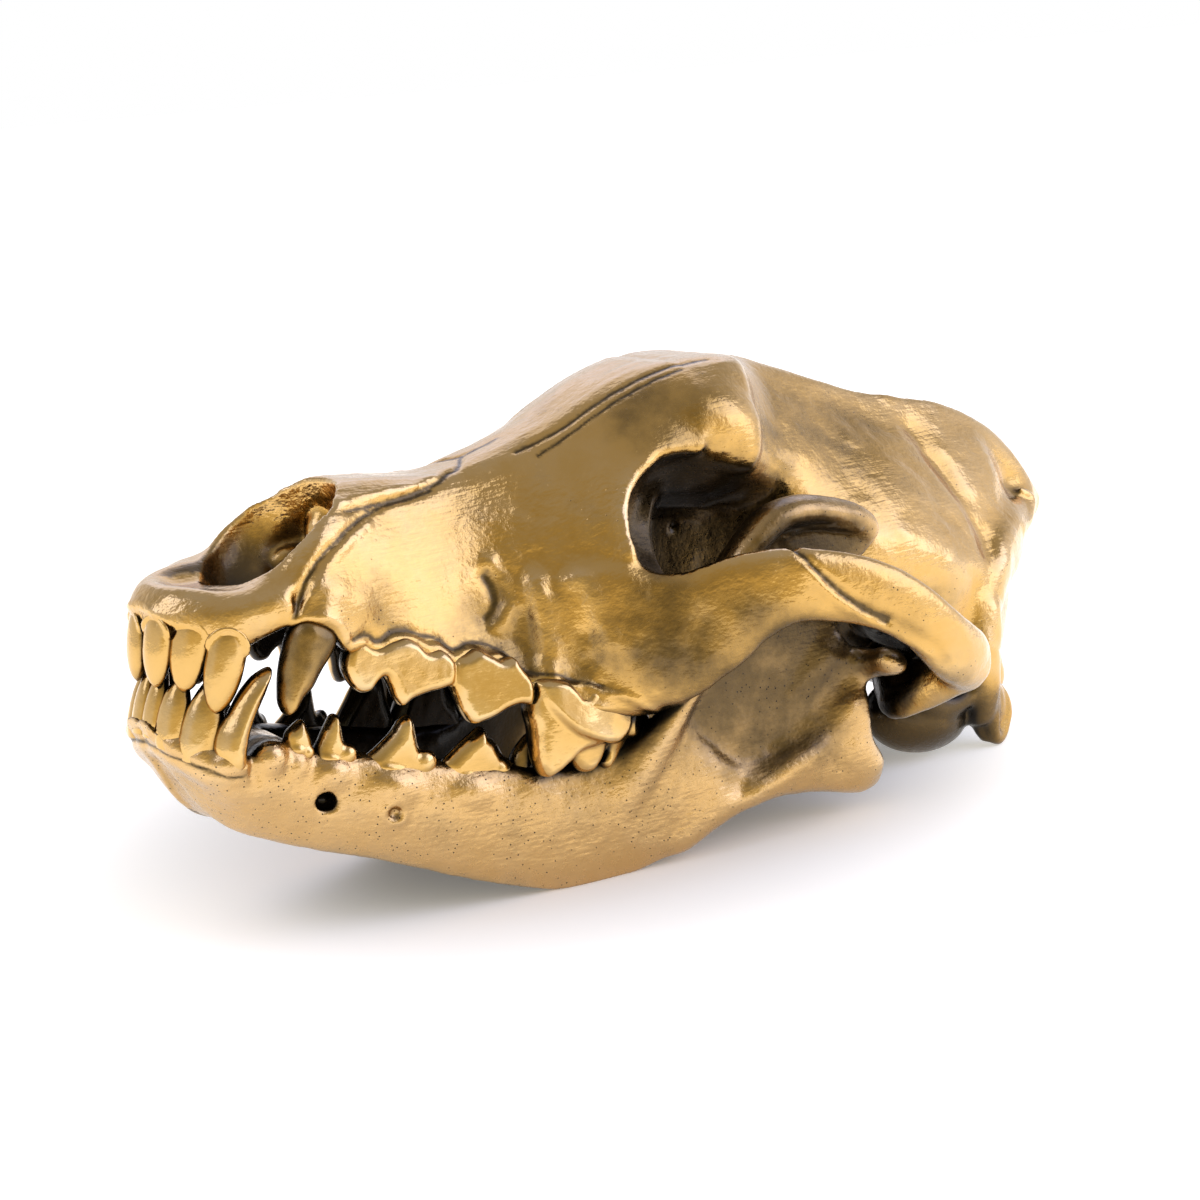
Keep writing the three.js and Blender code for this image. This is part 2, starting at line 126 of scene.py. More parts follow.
# %% A smooth curve through pairs of [distance back, value] that never overshoots them
def through(pairs):
    x, y = np.array(pairs, float).T
    slope = np.diff(y) / np.diff(x)
    product = slope[:-1] * slope[1:]
    total = np.where(product > 0, slope[:-1] + slope[1:], 1)
    middle = np.where(product > 0, 2 * product / total, 0)
    tangent = np.concatenate([slope[:1], middle, slope[-1:]])

    def value(at):
        at = np.clip(at, x[0], x[-1])
        i = np.clip(np.searchsorted(x, at, side="right") - 1, 0, len(x) - 2)
        h = x[i + 1] - x[i]
        t = (at - x[i]) / h
        return ((2 * t**3 - 3 * t**2 + 1) * y[i] + (t**3 - 2 * t**2 + t) * h * tangent[i]
                + (3 * t**2 - 2 * t**3) * y[i + 1] + (t**3 - t**2) * h * tangent[i + 1])

    return value


def spline(points, count, closed=False):
    """count points along a smooth curve through the given ones."""
    p = np.array(points, float)
    if closed:
        p = np.concatenate([p[-1:], p, p[:2]])
    else:
        p = np.concatenate([2 * p[:1] - p[1:2], p, 2 * p[-1:] - p[-2:-1]])
    steps = np.maximum(np.linalg.norm(np.diff(p, axis=0), axis=1), 1e-6) ** 0.5
    knots = np.concatenate([[0], np.cumsum(steps)])
    last = len(p) - 2
    at = np.linspace(knots[1], knots[last], count + closed)[:count]
    i = np.clip(np.searchsorted(knots, at, side="right") - 1, 1, last - 1)
    k0, k1, k2, k3 = (knots[i + n][:, None] for n in (-1, 0, 1, 2))
    p0, p1, p2, p3 = (p[i + n] for n in (-1, 0, 1, 2))
    t = at[:, None]
    a1 = (k1 - t) / (k1 - k0) * p0 + (t - k0) / (k1 - k0) * p1
    a2 = (k2 - t) / (k2 - k1) * p1 + (t - k1) / (k2 - k1) * p2
    a3 = (k3 - t) / (k3 - k2) * p2 + (t - k2) / (k3 - k2) * p3
    b1 = (k2 - t) / (k2 - k0) * a1 + (t - k0) / (k2 - k0) * a2
    b2 = (k3 - t) / (k3 - k1) * a2 + (t - k1) / (k3 - k1) * a3
    return (k2 - t) / (k2 - k1) * b1 + (t - k1) / (k2 - k1) * b2


# %% Plain closed shapes to build with: each is (points, quads, triangles)
def tube_faces(rings, around):
    """Quads between rows of points, and the two fans that shut the ends."""
    row = np.arange(rings - 1)[:, None] * around
    a = np.arange(around)
    b = (a + 1) % around
    quads = np.stack([row + a, row + b, row + around + b, row + around + a], -1).reshape(-1, 4)
    first, last = rings * around, rings * around + 1
    start = np.stack([b, a, np.full(around, first)], -1)
    end = np.stack([(rings - 1) * around + a, (rings - 1) * around + b, np.full(around, last)], -1)
    return quads, np.concatenate([start, end])


RING_POINTS = 56
RING_STEP_MM = 1.2


def skin(ring_at, start, end):
    """A row of closed rings along x, shut at both ends."""
    stations = np.linspace(start, end, int(abs(end - start) / RING_STEP_MM) + 2)
    rings = [ring_at(float(x), RING_POINTS) for x in stations]
    ends = [ring.mean(0, keepdims=True) for ring in (rings[0], rings[-1])]
    points = np.concatenate(rings + ends)
    quads, fans = tube_faces(len(rings), RING_POINTS)
    return points, quads, fans


def ring_from_half(x, half, around):
    """A ring at x from half of its outline, bottom to top, as [half width, height]."""
    half = np.array(half, float)
    left = half[1:-1][::-1] * [-1, 1]
    loop = spline(np.concatenate([half, left]), around, closed=True)
    return np.column_stack([np.full(around, x), loop])


def limb(stations, around=28, step=0.9, boxy=1.0):
    """A round-ended oval bar along stations [x, y, z, half thickness sideways, half height]."""
    s = np.array(stations, float)
    length = np.linalg.norm(np.diff(s[:, :3], axis=0), axis=1).sum()
    count = max(10, int(length / step))
    v = np.linspace(0, 1, count)
    t = 0.5 - 0.5 * np.cos(np.pi * v)
    dense = spline(s[:, :3], 400)
    at = t * 399
    i = np.clip(at.astype(int), 0, 398)
    centre = dense[i] + (dense[i + 1] - dense[i]) * (at - i)[:, None]
    ahead = dense[np.minimum(i + 1, 399)] - dense[np.maximum(i - 1, 0)]
    ahead /= np.linalg.norm(ahead, axis=1)[:, None]
    side = np.column_stack([-ahead[:, 1], ahead[:, 0], np.zeros(count)])
    side /= np.maximum(np.linalg.norm(side, axis=1), 1e-6)[:, None]
    rise = np.cross(ahead, side)
    along = np.linspace(0, 1, len(s))
    cap = np.sqrt(np.maximum(0, 1 - np.abs(2 * v - 1) ** 8))
    wide = through(np.column_stack([along, s[:, 3]]))(t) * cap + 1e-3
    tall = through(np.column_stack([along, s[:, 4]]))(t) * cap + 1e-3
    angle = np.linspace(0, 2 * np.pi, around, endpoint=False)
    across = np.sign(np.cos(angle)) * np.abs(np.cos(angle)) ** boxy
    up = np.sign(np.sin(angle)) * np.abs(np.sin(angle)) ** boxy
    rings = (centre[:, None] + side[:, None] * (wide[:, None] * across)[..., None]
             + rise[:, None] * (tall[:, None] * up)[..., None])
    points = np.concatenate([rings.reshape(-1, 3), centre[:1], centre[-1:]])
    quads, fans = tube_faces(count, around)
    return points, quads, fans


print("helpers for curves and plain shapes are ready")

# %% [markdown]
# ## Clay
#
# The block of clay stores, for each grid cell, how far it is from the surface: negative inside.
# Joining two shapes is then the smaller of two distances, and a *soft* smaller gives the fillet
# that a thumb leaves between two pieces of clay. A line pressed into the clay just adds a soft
# bump to those distances along its path. OpenVDB, which Blender carries, turns closed shapes
# into distances and the finished distances back into a skin of quads.

# %% The clay block
BAND_MM = 8.0
EGG_REACH_MM = 4.0
FADE_REACH = 2.6  # a soft stroke or spot has faded out at this many half widths
GROOVE_MM = 1.6  # a stroke narrower than this is a line that can hold patina


def soft_min(a, b, fillet):
    if fillet <= 0:
        return np.minimum(a, b)
    h = np.maximum(fillet - np.abs(a - b), 0) / fillet
    return np.minimum(a, b) - h * h * fillet / 4


def turned(a, b, degrees):
    """Two coordinates after a turn in their own plane."""
    c, s = math.cos(math.radians(degrees)), math.sin(math.radians(degrees))
    return c * a - s * b, s * a + c * b


class Clay:
    """One half of a symmetrical piece: distances in mm on a grid, y counted from the middle."""

    def __init__(self, low, high, cell):
        self.cell = cell
        self.band = int(BAND_MM / cell) + 1
        self.far = self.band * cell
        self.base = np.floor(np.array(low) / cell).astype(int)
        self.size = np.ceil(np.array(high) / cell).astype(int) - self.base + 1
        self.gap = np.full(self.size, self.far, np.float32)
        self.grooves = []

    def block(self, low, high):
        """The slices that hold a box given in mm, and the x, y, z of their cells."""
        a = np.clip(np.floor(np.array(low) / self.cell).astype(int) - self.base, 0, self.size - 1)
        b = np.ceil(np.array(high) / self.cell).astype(int) - self.base + 1
        b = np.clip(b, a + 1, self.size)
        cells = [(np.arange(a[k], b[k]) + self.base[k]) * np.float32(self.cell) for k in range(3)]
        x, y, z = (c.astype(np.float32) for c in cells)
        where = tuple(slice(a[k], b[k]) for k in range(3))
        return where, x[:, None, None], y[None, :, None], z[None, None, :]

    def distances(self, shape):
        """A closed shape as (slices, distances)."""
        points, quads, fans = shape
        transform = openvdb.createLinearTransform(voxelSize=self.cell)
        grid = openvdb.FloatGrid.createLevelSetFromPolygons(
            points.astype(np.float32), triangles=fans.astype(np.uint32),
            quads=quads.astype(np.uint32), transform=transform, halfWidth=float(self.band))
        low, high = (np.array(c) for c in grid.evalActiveVoxelBoundingBox())
        low = np.maximum(low, self.base)
        high = np.minimum(high, self.base + self.size - 1)
        out = np.empty(high - low + 1, np.float32)
        grid.copyToArray(out, ijk=tuple(int(v) for v in low))
        return tuple(slice(l - b, h - b + 1) for l, h, b in zip(low, high, self.base)), out

    def add(self, shape, fillet=2.0):
        where, gap = self.distances(shape)
        self.gap[where] = soft_min(self.gap[where], gap, fillet)

    def egg(self, centre, half, turn=0, lean=0):
        """Distances to an egg turned in the side view, then leaned outwards, in degrees."""
        centre, half = np.array(centre, float), np.array(half, float)
        reach = half.max() + EGG_REACH_MM
        where, x, y, z = self.block(centre - reach, centre + reach)
        x, y, z = x - centre[0], y - centre[1], z - centre[2]
        x, z = turned(x, z, turn)
        x, y = turned(x, y, -lean)
        near = np.sqrt((x / half[0]) ** 2 + (y / half[1]) ** 2 + (z / half[2]) ** 2)
        steep = np.sqrt((x / half[0] ** 2) ** 2 + (y / half[1] ** 2) ** 2 + (z / half[2] ** 2) ** 2)
        return where, np.clip(near * (near - 1) / np.maximum(steep, 1e-6), -self.far, self.far)

    def add_egg(self, centre, half, turn=0, lean=0, fillet=2.0):
        where, gap = self.egg(centre, half, turn, lean)
        self.gap[where] = soft_min(self.gap[where], gap, fillet)

    def cut_egg(self, centre, half, turn=0, lean=0, fillet=1.5):
        where, gap = self.egg(centre, half, turn, lean)
        self.gap[where] = -soft_min(-self.gap[where], gap, fillet)

    def add_plate(self, outline, middle_y, thick, swing, lean, edge=1.5, fillet=2.0):
        """A round-edged plate: an outline in the side view, leaning out to the back and the top."""
        loop = spline(outline, 160, closed=True)
        low, high = loop.min(0) - 4, loop.max(0) + 4
        x0, z0 = outline[0]
        sides = [middle_y + swing * (x - x0) + lean * (z - z0)
                 for x in (low[0], high[0]) for z in (low[1], high[1])]
        where, x, y, z = self.block(
            (low[0], min(sides) - thick, low[1]), (high[0], max(sides) + thick, high[1]))
        flat = outline_distance(loop, x[:, 0, 0], z[0, 0])[:, None, :] + edge
        middle = middle_y + swing * (x - x0) + lean * (z - z0)
        deep = np.abs(y - middle) - thick / 2 + edge
        round_off = np.hypot(np.maximum(flat, 0), np.maximum(deep, 0))
        gap = np.minimum(np.maximum(flat, deep), 0) + round_off - edge
        self.gap[where] = soft_min(self.gap[where], np.clip(gap, -self.far, self.far), fillet)

    def add_crown(self, outline, wall, thick, dome=3.0, sharp=2.0, lean=0.0, fillet=0.6):
        """A domed tooth crown: an outline in the side view, its outer face along wall(x)."""
        loop = spline(outline, 140, closed=True)
        low, high = loop.min(0) - 2, loop.max(0) + 2
        face = wall(np.linspace(low[0], high[0], 9))
        reach = 2 + abs(lean) * (high[1] - low[1])
        where, x, y, z = self.block(
            (low[0], face.min() - thick - reach, low[1]), (high[0], face.max() + reach, high[1]))
        flat = outline_distance(loop, x[:, 0, 0], z[0, 0])[:, None, :]
        middle = wall(x) - thick / 2 + lean * (z - outline[0][1])
        rim = np.maximum(flat / dome + 1, 0)
        flank = np.abs(y - middle) / (thick / 2)
        gap = ((rim ** sharp + flank ** sharp) ** (1 / sharp) - 1) * min(dome, thick / 2)
        self.gap[where] = soft_min(self.gap[where], np.clip(gap, -self.far, self.far), fillet)

    def stroke(self, stations):
        """Presses a line through [x, y, z, width, depth], or raises it where depth is negative."""
        s = np.array(stations, float)
        count = max(2, int(np.linalg.norm(np.diff(s[:, :3], axis=0), axis=1).sum() / 2.0) + 1)
        path = spline(s[:, :3], count)
        along, at = np.linspace(0, 1, len(s)), np.linspace(0, 1, count)
        width, depth = np.interp(at, along, s[:, 3]), np.interp(at, along, s[:, 4])
        reach = FADE_REACH * width.max()
        where, x, y, z = self.block(path.min(0) - reach, path.max(0) + reach)
        offset = [sl.start for sl in where]
        press = np.zeros(self.gap[where].shape, np.float32)
        for i in range(count - 1):
            a, b = path[i], path[i + 1]
            inner, x, y, z = self.block(np.minimum(a, b) - reach, np.maximum(a, b) + reach)
            local = tuple(slice(sl.start - o, sl.stop - o) for sl, o in zip(inner, offset))
            run = b - a
            x, y, z = x - a[0], y - a[1], z - a[2]
            t = np.clip((x * run[0] + y * run[1] + z * run[2]) / (run @ run), 0, 1)
            near = (x - t * run[0]) ** 2 + (y - t * run[1]) ** 2 + (z - t * run[2]) ** 2
            w = width[i] + (width[i + 1] - width[i]) * t
            d = depth[i] + (depth[i + 1] - depth[i]) * t
            value = d * np.exp(-near / (w * w))
            old = press[local]
            press[local] = np.where(np.abs(value) > np.abs(old), value, old)
        self.gap[where] += press
        if depth.max() > 0 and width.max() < GROOVE_MM:
            self.grooves.append(np.column_stack([path, width]))

    def spot(self, centre, half, depth, turn=0):
        """Presses a soft hollow into the clay, or raises a swelling where depth is negative."""
        centre, half = np.array(centre, float), np.array(half, float)
        reach = FADE_REACH * half.max()
        where, x, y, z = self.block(centre - reach, centre + reach)
        x, y, z = x - centre[0], y - centre[1], z - centre[2]
        x, z = turned(x, z, turn)
        near = (x / half[0]) ** 2 + (y / half[1]) ** 2 + (z / half[2]) ** 2
        self.gap[where] += depth * np.exp(-near)

    def surface_at(self, place, axis):
        """How far out the surface lies along an axis, at a place given on the other two."""
        at = {k: int(round(v / self.cell)) - self.base[k] for k, v in place.items()}
        line = self.gap[tuple(at.get(k, slice(None)) for k in range(3))]
        inside = np.nonzero(line < 0)[0]
        return (inside[-1] + self.base[axis] + 0.5) * self.cell if len(inside) else 0.0

    def trace(self, places, width, depth):
        """A stroke that follows the outer surface through places [x, z] in the side view."""
        path = spline(places, max(3, 3 * len(places)))
        self.stroke([[x, self.surface_at({0: x, 2: z}, 1), z, width, depth] for x, z in path])

    def trace_above(self, places, width, depth):
        """A stroke that follows the upper surface through places [x, y] seen from above."""
        self.stroke([[x, y, self.surface_at({0: x, 1: y}, 2) - 0.2, width, depth]
                     for x, y in places])

    def skin(self):
        """Points in skull axes and quads, both halves together."""
        first = -self.base[1]
        half = self.gap[:, first:]
        whole = np.ascontiguousarray(np.concatenate([half[:, :0:-1], half], 1))
        corner = (int(self.base[0]), int(-(half.shape[1] - 1)), int(self.base[2]))
        grid = openvdb.FloatGrid(float(self.far))
        grid.copyFromArray(whole, ijk=corner, tolerance=0.0)
        grid.transform = openvdb.createLinearTransform(voxelSize=self.cell)
        grid.gridClass = openvdb.GridClass.LEVEL_SET
        points, quads = grid.convertToQuads(0.0)
        return np.array(points, float), np.array(quads, int)[:, ::-1]


def outline_distance(loop, x, z):
    """Signed distance in the side view from a grid of places to a closed outline."""
    px, pz = np.meshgrid(x, z, indexing="ij")
    nearest = np.full(px.shape, 1e9)
    inside = np.zeros(px.shape, bool)
    for (ax, az), (bx, bz) in zip(loop, np.roll(loop, -1, 0)):
        along, rise = bx - ax, bz - az
        t = ((px - ax) * along + (pz - az) * rise) / (along ** 2 + rise ** 2)
        t = np.clip(t, 0, 1)
        nearest = np.minimum(nearest, (px - ax - t * along) ** 2 + (pz - az - t * rise) ** 2)
        crosses = (az > pz) != (bz > pz)
        inside ^= crosses & (px < along * (pz - az) / np.where(bz == az, 1e-9, rise) + ax)
    return np.where(inside, -1, 1) * np.sqrt(nearest).astype(np.float32)


print("clay is ready; it keeps distances up to", BAND_MM, "mm from the surface")

# %% [markdown]
# ## The face
#
# The muzzle, cheeks and forehead of a wolf change shape slowly along the skull, so they are a
# skin over rings. Each named curve says how one feature runs back from the nose: the gum edge,
# the bulge over the tooth roots, the cheek, the bridge and the nasal bones on top.

# %% Curves of the face
FACE_TOP = through([
    [-4, 1], [0, 4.4], [3, 5.8], [8, 7.2], [13, 9], [16.2, 11.8], [19.2, 15.4], [21.6, 20.6],
    [24.3, 25.2], [27.3, 29.8], [30.7, 33], [34.5, 35.4],
    [46, 38.4], [60, 41.6], [75, 49.4], [90, 60], [101, 68.6], [112, 76], [118, 79]])
GUM = through([
    [-4, 1], [0, -0.6], [9, -0.6], [12.5, -1.4], [16.5, 0.8], [20, 3.6], [24, 5], [29, 4],
    [36, -0.6], [62, -1.5], [80, -3.5], [98, -5], [118, -4]])
PALATE = through([[-4, 2], [0, 1], [15, 4], [40, 7], [80, 9], [100, 8], [118, 5]])
GUM_HALF = through([
    [-4, 5], [0, 10], [4, 13], [9, 16], [16, 18.6], [22, 21.6], [28, 25], [34, 25], [40, 23.6],
    [50, 25.4], [62, 28.4], [72, 31], [80, 34], [88, 38.4], [96, 41], [106, 40.5], [114, 36.5],
    [118, 33]])
ROOT_HALF = through([
    [-4, 5], [0, 9.5], [6, 14], [14, 17], [22, 20.5], [28, 24], [35, 24.4], [46, 22.6], [60, 23.6],
    [72, 27], [84, 32.5], [92, 36.4], [100, 41], [108, 45], [118, 48]])
CHEEK_HALF = through([
    [-4, 4], [0, 8.5], [8, 13.5], [14, 17.6], [20, 20.4], [27, 21.4], [32, 21.6], [42, 20.6],
    [56, 19.8], [66, 20.8], [76, 24.4], [86, 30], [94, 34.6], [104, 40], [118, 42]])
BRIDGE_HALF = through([
    [-4, 3], [0, 8], [12, 15], [18, 18.4], [25, 18.6], [32, 16.6], [40, 14.8], [50, 14], [62, 14.2],
    [76, 16.6], [88, 22], [97, 27.5], [106, 30], [118, 30.6]])
NASAL_HALF = through([
    [-4, 2], [0, 7], [6, 11], [12, 14.4], [18, 16.6], [23, 15.4], [27, 13], [31, 10.4], [36, 8.8],
    [62, 8.2], [82, 9], [100, 12], [118, 16]])


def face_ring(x, around):
    low, high = GUM(x), FACE_TOP(x)
    rise = high - low
    rim = min(high - 1, low + 9)
    return ring_from_half(x, [
        [0, PALATE(x)], [max(2, GUM_HALF(x) - 9), min(low + 2, PALATE(x))], [GUM_HALF(x), low],
        [ROOT_HALF(x), min(rim, low + 0.3 * rise)], [CHEEK_HALF(x), low + 0.46 * rise],
        [BRIDGE_HALF(x), low + 0.78 * rise], [NASAL_HALF(x), low + 0.975 * rise],
        [0, high]], around)


print("halfway along, the muzzle is", round(float(FACE_TOP(60) - GUM(60)), 1), "mm high")

# %% Curves of the forehead and braincase
ROOF_TOP = through([
    [88, 52], [96, 64], [107, 72.6], [118, 79], [130, 83.8], [144, 85.6], [158, 84.6], [175, 82.6],
    [195, 82], [218, 82.4], [234, 80], [244, 73], [250, 64], [255, 50]])
ROOF_HALF = through([
    [88, 8], [100, 12.5], [112, 17], [124, 20], [134, 19], [144, 10], [156, 5], [180, 4.4],
    [205, 5], [220, 6.4], [240, 9], [256, 8]])
BROW_HALF = through([
    [88, 16], [97, 24], [106, 28], [118, 29.4], [127, 30.6], [132, 31], [138, 27.6], [144, 23.4],
    [154, 20.4], [168, 21.6], [185, 25], [200, 27], [215, 26.4], [230, 22.6], [244, 17], [255, 8]])
BROW_DROP = through([
    [88, 14], [106, 19], [118, 22], [133, 25], [142, 25], [160, 24.4], [185, 23], [218, 27],
    [236, 26], [248, 18], [255, 12]])
BRAIN_HALF = through([
    [88, 13], [100, 15], [120, 14], [138, 13.4], [150, 15.4], [160, 21.6], [174, 30.4], [190, 34.5],
    [204, 35], [216, 32.6], [226, 29], [236, 24.4], [244, 20], [250, 15], [255, 9]])
BRAIN_MID = through([[88, 42], [120, 44], [150, 48], [176, 46], [204, 43], [230, 38], [256, 30]])
BASE_HALF = through([
    [88, 12], [110, 13.5], [130, 12], [150, 12], [165, 16], [180, 24], [200, 28], [216, 27],
    [230, 23], [242, 19], [255, 9]])
BASE_FLOOR = through([[88, 22], [104, 16], [125, 13.5], [150, 13], [175, 12], [200, 11], [230, 9],
                      [246, 9], [256, 14]])


def brain_ring(x, around):
    top = ROOF_TOP(x)
    return ring_from_half(x, [
        [0, BASE_FLOOR(x)], [BASE_HALF(x), BASE_FLOOR(x) + 4], [BRAIN_HALF(x), BRAIN_MID(x)],
        [BROW_HALF(x), top - BROW_DROP(x)], [ROOF_HALF(x), top - 2.5], [0, top]], around)


print("the face is", round(2 * float(ROOT_HALF(100))), "mm wide below the eyes, the braincase",
      round(2 * float(BRAIN_HALF(204))), "mm")

# %% Lay down the main masses of the cranium
CELL = 0.66


def cranium_masses():
    clay = Clay((-6, -2, -10), (276, 73, 90), CELL)
    clay.add(skin(face_ring, -3.5, 118), 0)
    clay.add(skin(brain_ring, 88, 252), 4)
    clay.add(limb([[146, 0, 78, 2.4, 7], [165, 0, 77, 1.8, 8], [190, 0, 76.5, 1.6, 8.5],
                   [212, 0, 77, 2.2, 9.4], [232, 0, 76.5, 3.6, 11], [250, 0, 72.5, 4.8, 10.5],
                   [262, 0, 68, 4, 7.5], [269.5, 0, 66.5, 2, 4]]), 7)
    clay.add(limb([[262, 0, 66, 4, 5], [252, 8, 60, 5, 7], [241, 16.6, 53, 5, 7.4],
                   [231, 23.6, 46, 5, 7.4], [225, 28.4, 36, 5, 7], [224, 31, 24, 5.6, 6],
                   [227, 31.4, 12, 5.4, 5], [229, 31.6, 4, 3.6, 3.6]], boxy=0.8), 6)
    clay.add_egg((128, 22, 66), (13, 9, 8), 12, 0, 6)
    clay.add_egg((132.6, 27.6, 59.6), (4.4, 4.2, 5.4), 0, 0, 4)
    clay.add(limb([[-0.2, -4, 2.6, 2.6, 4], [-0.2, 0, 2.6, 2.6, 4], [0.4, 4, 2.4, 3, 4.4],
                   [3.8, 9.6, 2.4, 3.2, 4.4], [9.4, 14.8, 1.8, 3.6, 4.8],
                   [15.6, 17.8, 4.8, 3.4, 4.4], [21, 20, 8, 2.4, 3.6]]), 4)
    clay.add(limb([[0.2, -4, -0.4, 2.8, 3.6], [0.2, 0, -0.4, 2.8, 3.6], [0.4, 4.6, -0.4, 2.9, 3.6],
                   [4.8, 10.6, -0.2, 3, 3.6], [10.8, 15.2, -0.6, 3.2, 3.8],
                   [15.6, 16.8, 2.6, 2.6, 3]]), 1.5)
    clay.add_egg((214.6, 21.8, 4.2), (16, 11.6, 10.6), -8)
    clay.add(limb([[198, 30, 12, 3, 3], [208, 32, 8, 2.2, 3], [217, 32.4, 8, 2, 2.6],
                   [224, 33, 13, 2, 3]]), 2)
    clay.add_egg((246, 12, 15.5), (6, 8, 8.5), 20)
    clay.add(limb([[228, 28, 17, 4, 5], [231.6, 30.4, 9, 2.6, 5.4], [233.6, 31, 2.6, 2.4, 4.6],
                   [234.4, 31, 0, 2, 2]]), 2)
    clay.add(limb([[229, 31, 16, 2, 2.4], [231.4, 33, 9, 1.6, 1.9], [233, 33.6, 2.8, 1.6, 1.9],
                   [236, 33, 1.2, 1.6, 1.9], [238.2, 32, 5, 1.6, 1.9], [237.4, 31, 11, 1.6, 1.9],
                   [234, 29.6, 15, 2, 2]]), 1.4)
    clay.add(limb([[116, 13, 3, 3, 4], [132, 11, 4.5, 2.2, 6.5], [148, 10.5, 6, 2, 7],
                   [160, 11, 7, 1.8, 5]]), 2)
    return clay


def hollow_cranium(clay):
    clay.cut_egg((24.2, 0, 21.6), (12, 16, 18.6), 35.5, 0, 1.5)
    clay.cut_egg((32.6, 0, 20.6), (14, 12.8, 11.4), 4, 0, 2)
    clay.add(limb([[24, 0, 8.4, 1.2, 2], [33, 0, 10, 1.3, 3], [42, 0, 14, 1.5, 6]]), 2)
    clay.add_egg((44, 6.4, 25), (6, 4.6, 8), 20, 0, 2)
    clay.add_egg((41, 10.8, 15), (8, 3.2, 4.6), 10, 0, 2)
    clay.cut_egg((116.4, 36, 43), (18.6, 18, 15.5), -6, 0, 3)
    clay.cut_egg((108, 40, 38), (10.6, 15, 9), 0, 0, 2)
    clay.cut_egg((103.8, 42, 34.4), (5.8, 12, 5.6), 0, 0, 1.5)
    clay.cut_egg((131, 38, 40), (20, 21, 17), -12, 0, 3)
    clay.cut_egg((146, 34, 40), (14, 17, 15), 0, 0, 3)
    clay.cut_egg((252, 0, 21), (16, 8.6, 7.6), -8)
    clay.cut_egg((134, 0, 4), (22, 8.6, 6.5), 0)


def cheek_arch(clay):
    clay.add(limb([[84, 26, 15, 3, 9], [96, 34.6, 14, 4, 14], [106, 41.8, 13.4, 4.4, 15.4],
                   [114, 47, 18.6, 4.4, 13.4], [122, 52, 26.4, 4, 10.6], [130, 57, 31.2, 3.8, 8.8],
                   [140, 61, 33, 3.8, 8.2], [152, 64.8, 32.6, 3.8, 7.8], [163, 67.2, 29.6, 4, 7.2],
                   [174, 67.4, 24.4, 4.8, 8], [184, 64, 21.8, 6.2, 7.6], [192, 54, 21, 7.2, 6.6],
                   [199, 34, 22.5, 8, 6]], boxy=0.8), 3)
    clay.add_egg((184, 47, 25), (14, 19, 5.5), 8)
    clay.add_egg((194, 46, 20), (6, 17, 7))
    clay.add(limb([[192, 27, 18, 4, 4], [187.6, 35, 15.4, 4, 5], [184.8, 40.4, 11.4, 3.8, 5.8],
                   [183.4, 44.4, 8.6, 3.4, 5.6], [184.4, 49.6, 12, 3.8, 6.4],
                   [185.8, 55, 16, 4, 6.8], [187, 61, 19.4, 4, 6], [187.4, 67, 22, 4, 4.4]]), 2)
    clay.cut_egg((172.6, 47, 16.4), (9, 9.6, 7.8), 0, 0, 1.2)


cranium_clay = cranium_masses()
hollow_cranium(cranium_clay)
cheek_arch(cranium_clay)
print("cranium clay:", cranium_clay.gap.shape, "cells of", CELL, "mm")

# %% [markdown]
# ## Lines and hollows of the bone
#
# Bones of a skull meet along sutures, which the founder's pattern shows as grooves with a raised
# lip. Nerves leave through small holes. Each is a line or a spot pressed into the clay, or
# raised where its depth is negative, and it follows the surface that is already there.

# %% Sutures, rims and hollows
def nose_and_cheek(clay):
    clay.trace([[33.6, 31.4], [38, 32.8], [45, 35.4], [53, 37.8], [60, 41]], 1.2, -0.6)
    clay.trace([[34, 29.4], [40, 31.4], [50, 34.6], [58, 38]], 0.8, 0.7)
    clay.trace([[21.6, 5], [22.6, 9], [24, 14], [27, 19], [32, 24], [38, 28.6], [45, 32.6],
                [53, 36], [62, 41], [72, 48], [80, 54]], 0.8, 0.9)
    clay.trace_above([[80, 9.6], [90, 11], [102, 12.6], [114, 14], [126, 16]], 0.9, 0.5)
    clay.trace_above([[84, 13], [94, 14.2], [106, 15.6], [118, 17.4]], 0.8, 0.35)
    clay.trace([[23.4, 5.6], [24.4, 9.4], [26, 13.4], [29, 18], [34, 23], [40, 27.6]], 1.0, -0.5)
    clay.trace([[22, 3.6], [24.6, 5.6], [28.4, 6.4], [32, 4.6], [33.6, 1.6]], 0.9, -0.7)
    clay.trace([[35.7, 0.5], [39.2, 2.1], [42.5, 0.8], [46, 3.5], [49.4, 4.3], [52.7, 3.8],
                [54.6, 2.6], [58, 3.3], [61, 1.3], [63.4, 2.8], [66.5, 4.2], [70.1, 3.2],
                [72.8, 3.7], [76.1, 2.1], [79, -0.4], [83, 0.8], [87.4, -0.6], [91.2, 0.8],
                [95.4, -0.8], [100, -0.4], [105, -2], [111, -3]], 0.9, -0.8)
    clay.trace([[35.7, 2.4], [39.2, 4], [42.5, 2.8], [46, 5.4], [49.4, 6.2], [53, 5.6], [58, 5.2],
                [61, 3.4], [66.5, 6.2], [72.8, 5.6], [79, 1.6], [87, 1.4], [95, 1]], 1.0, 0.5)
    clay.spot((73, 25, 8), (9, 6, 5), 1.6, 20)
    clay.spot((69, 22, 16), (5, 5, 6), 1.0, 20)
    clay.trace([[70, 20.6], [71.8, 17.6], [72, 14.4], [70.6, 11.6]], 1.5, 1.5)
    clay.trace([[71, 24], [74.4, 19.6], [75.6, 15], [74, 10.4]], 2.0, -0.8)


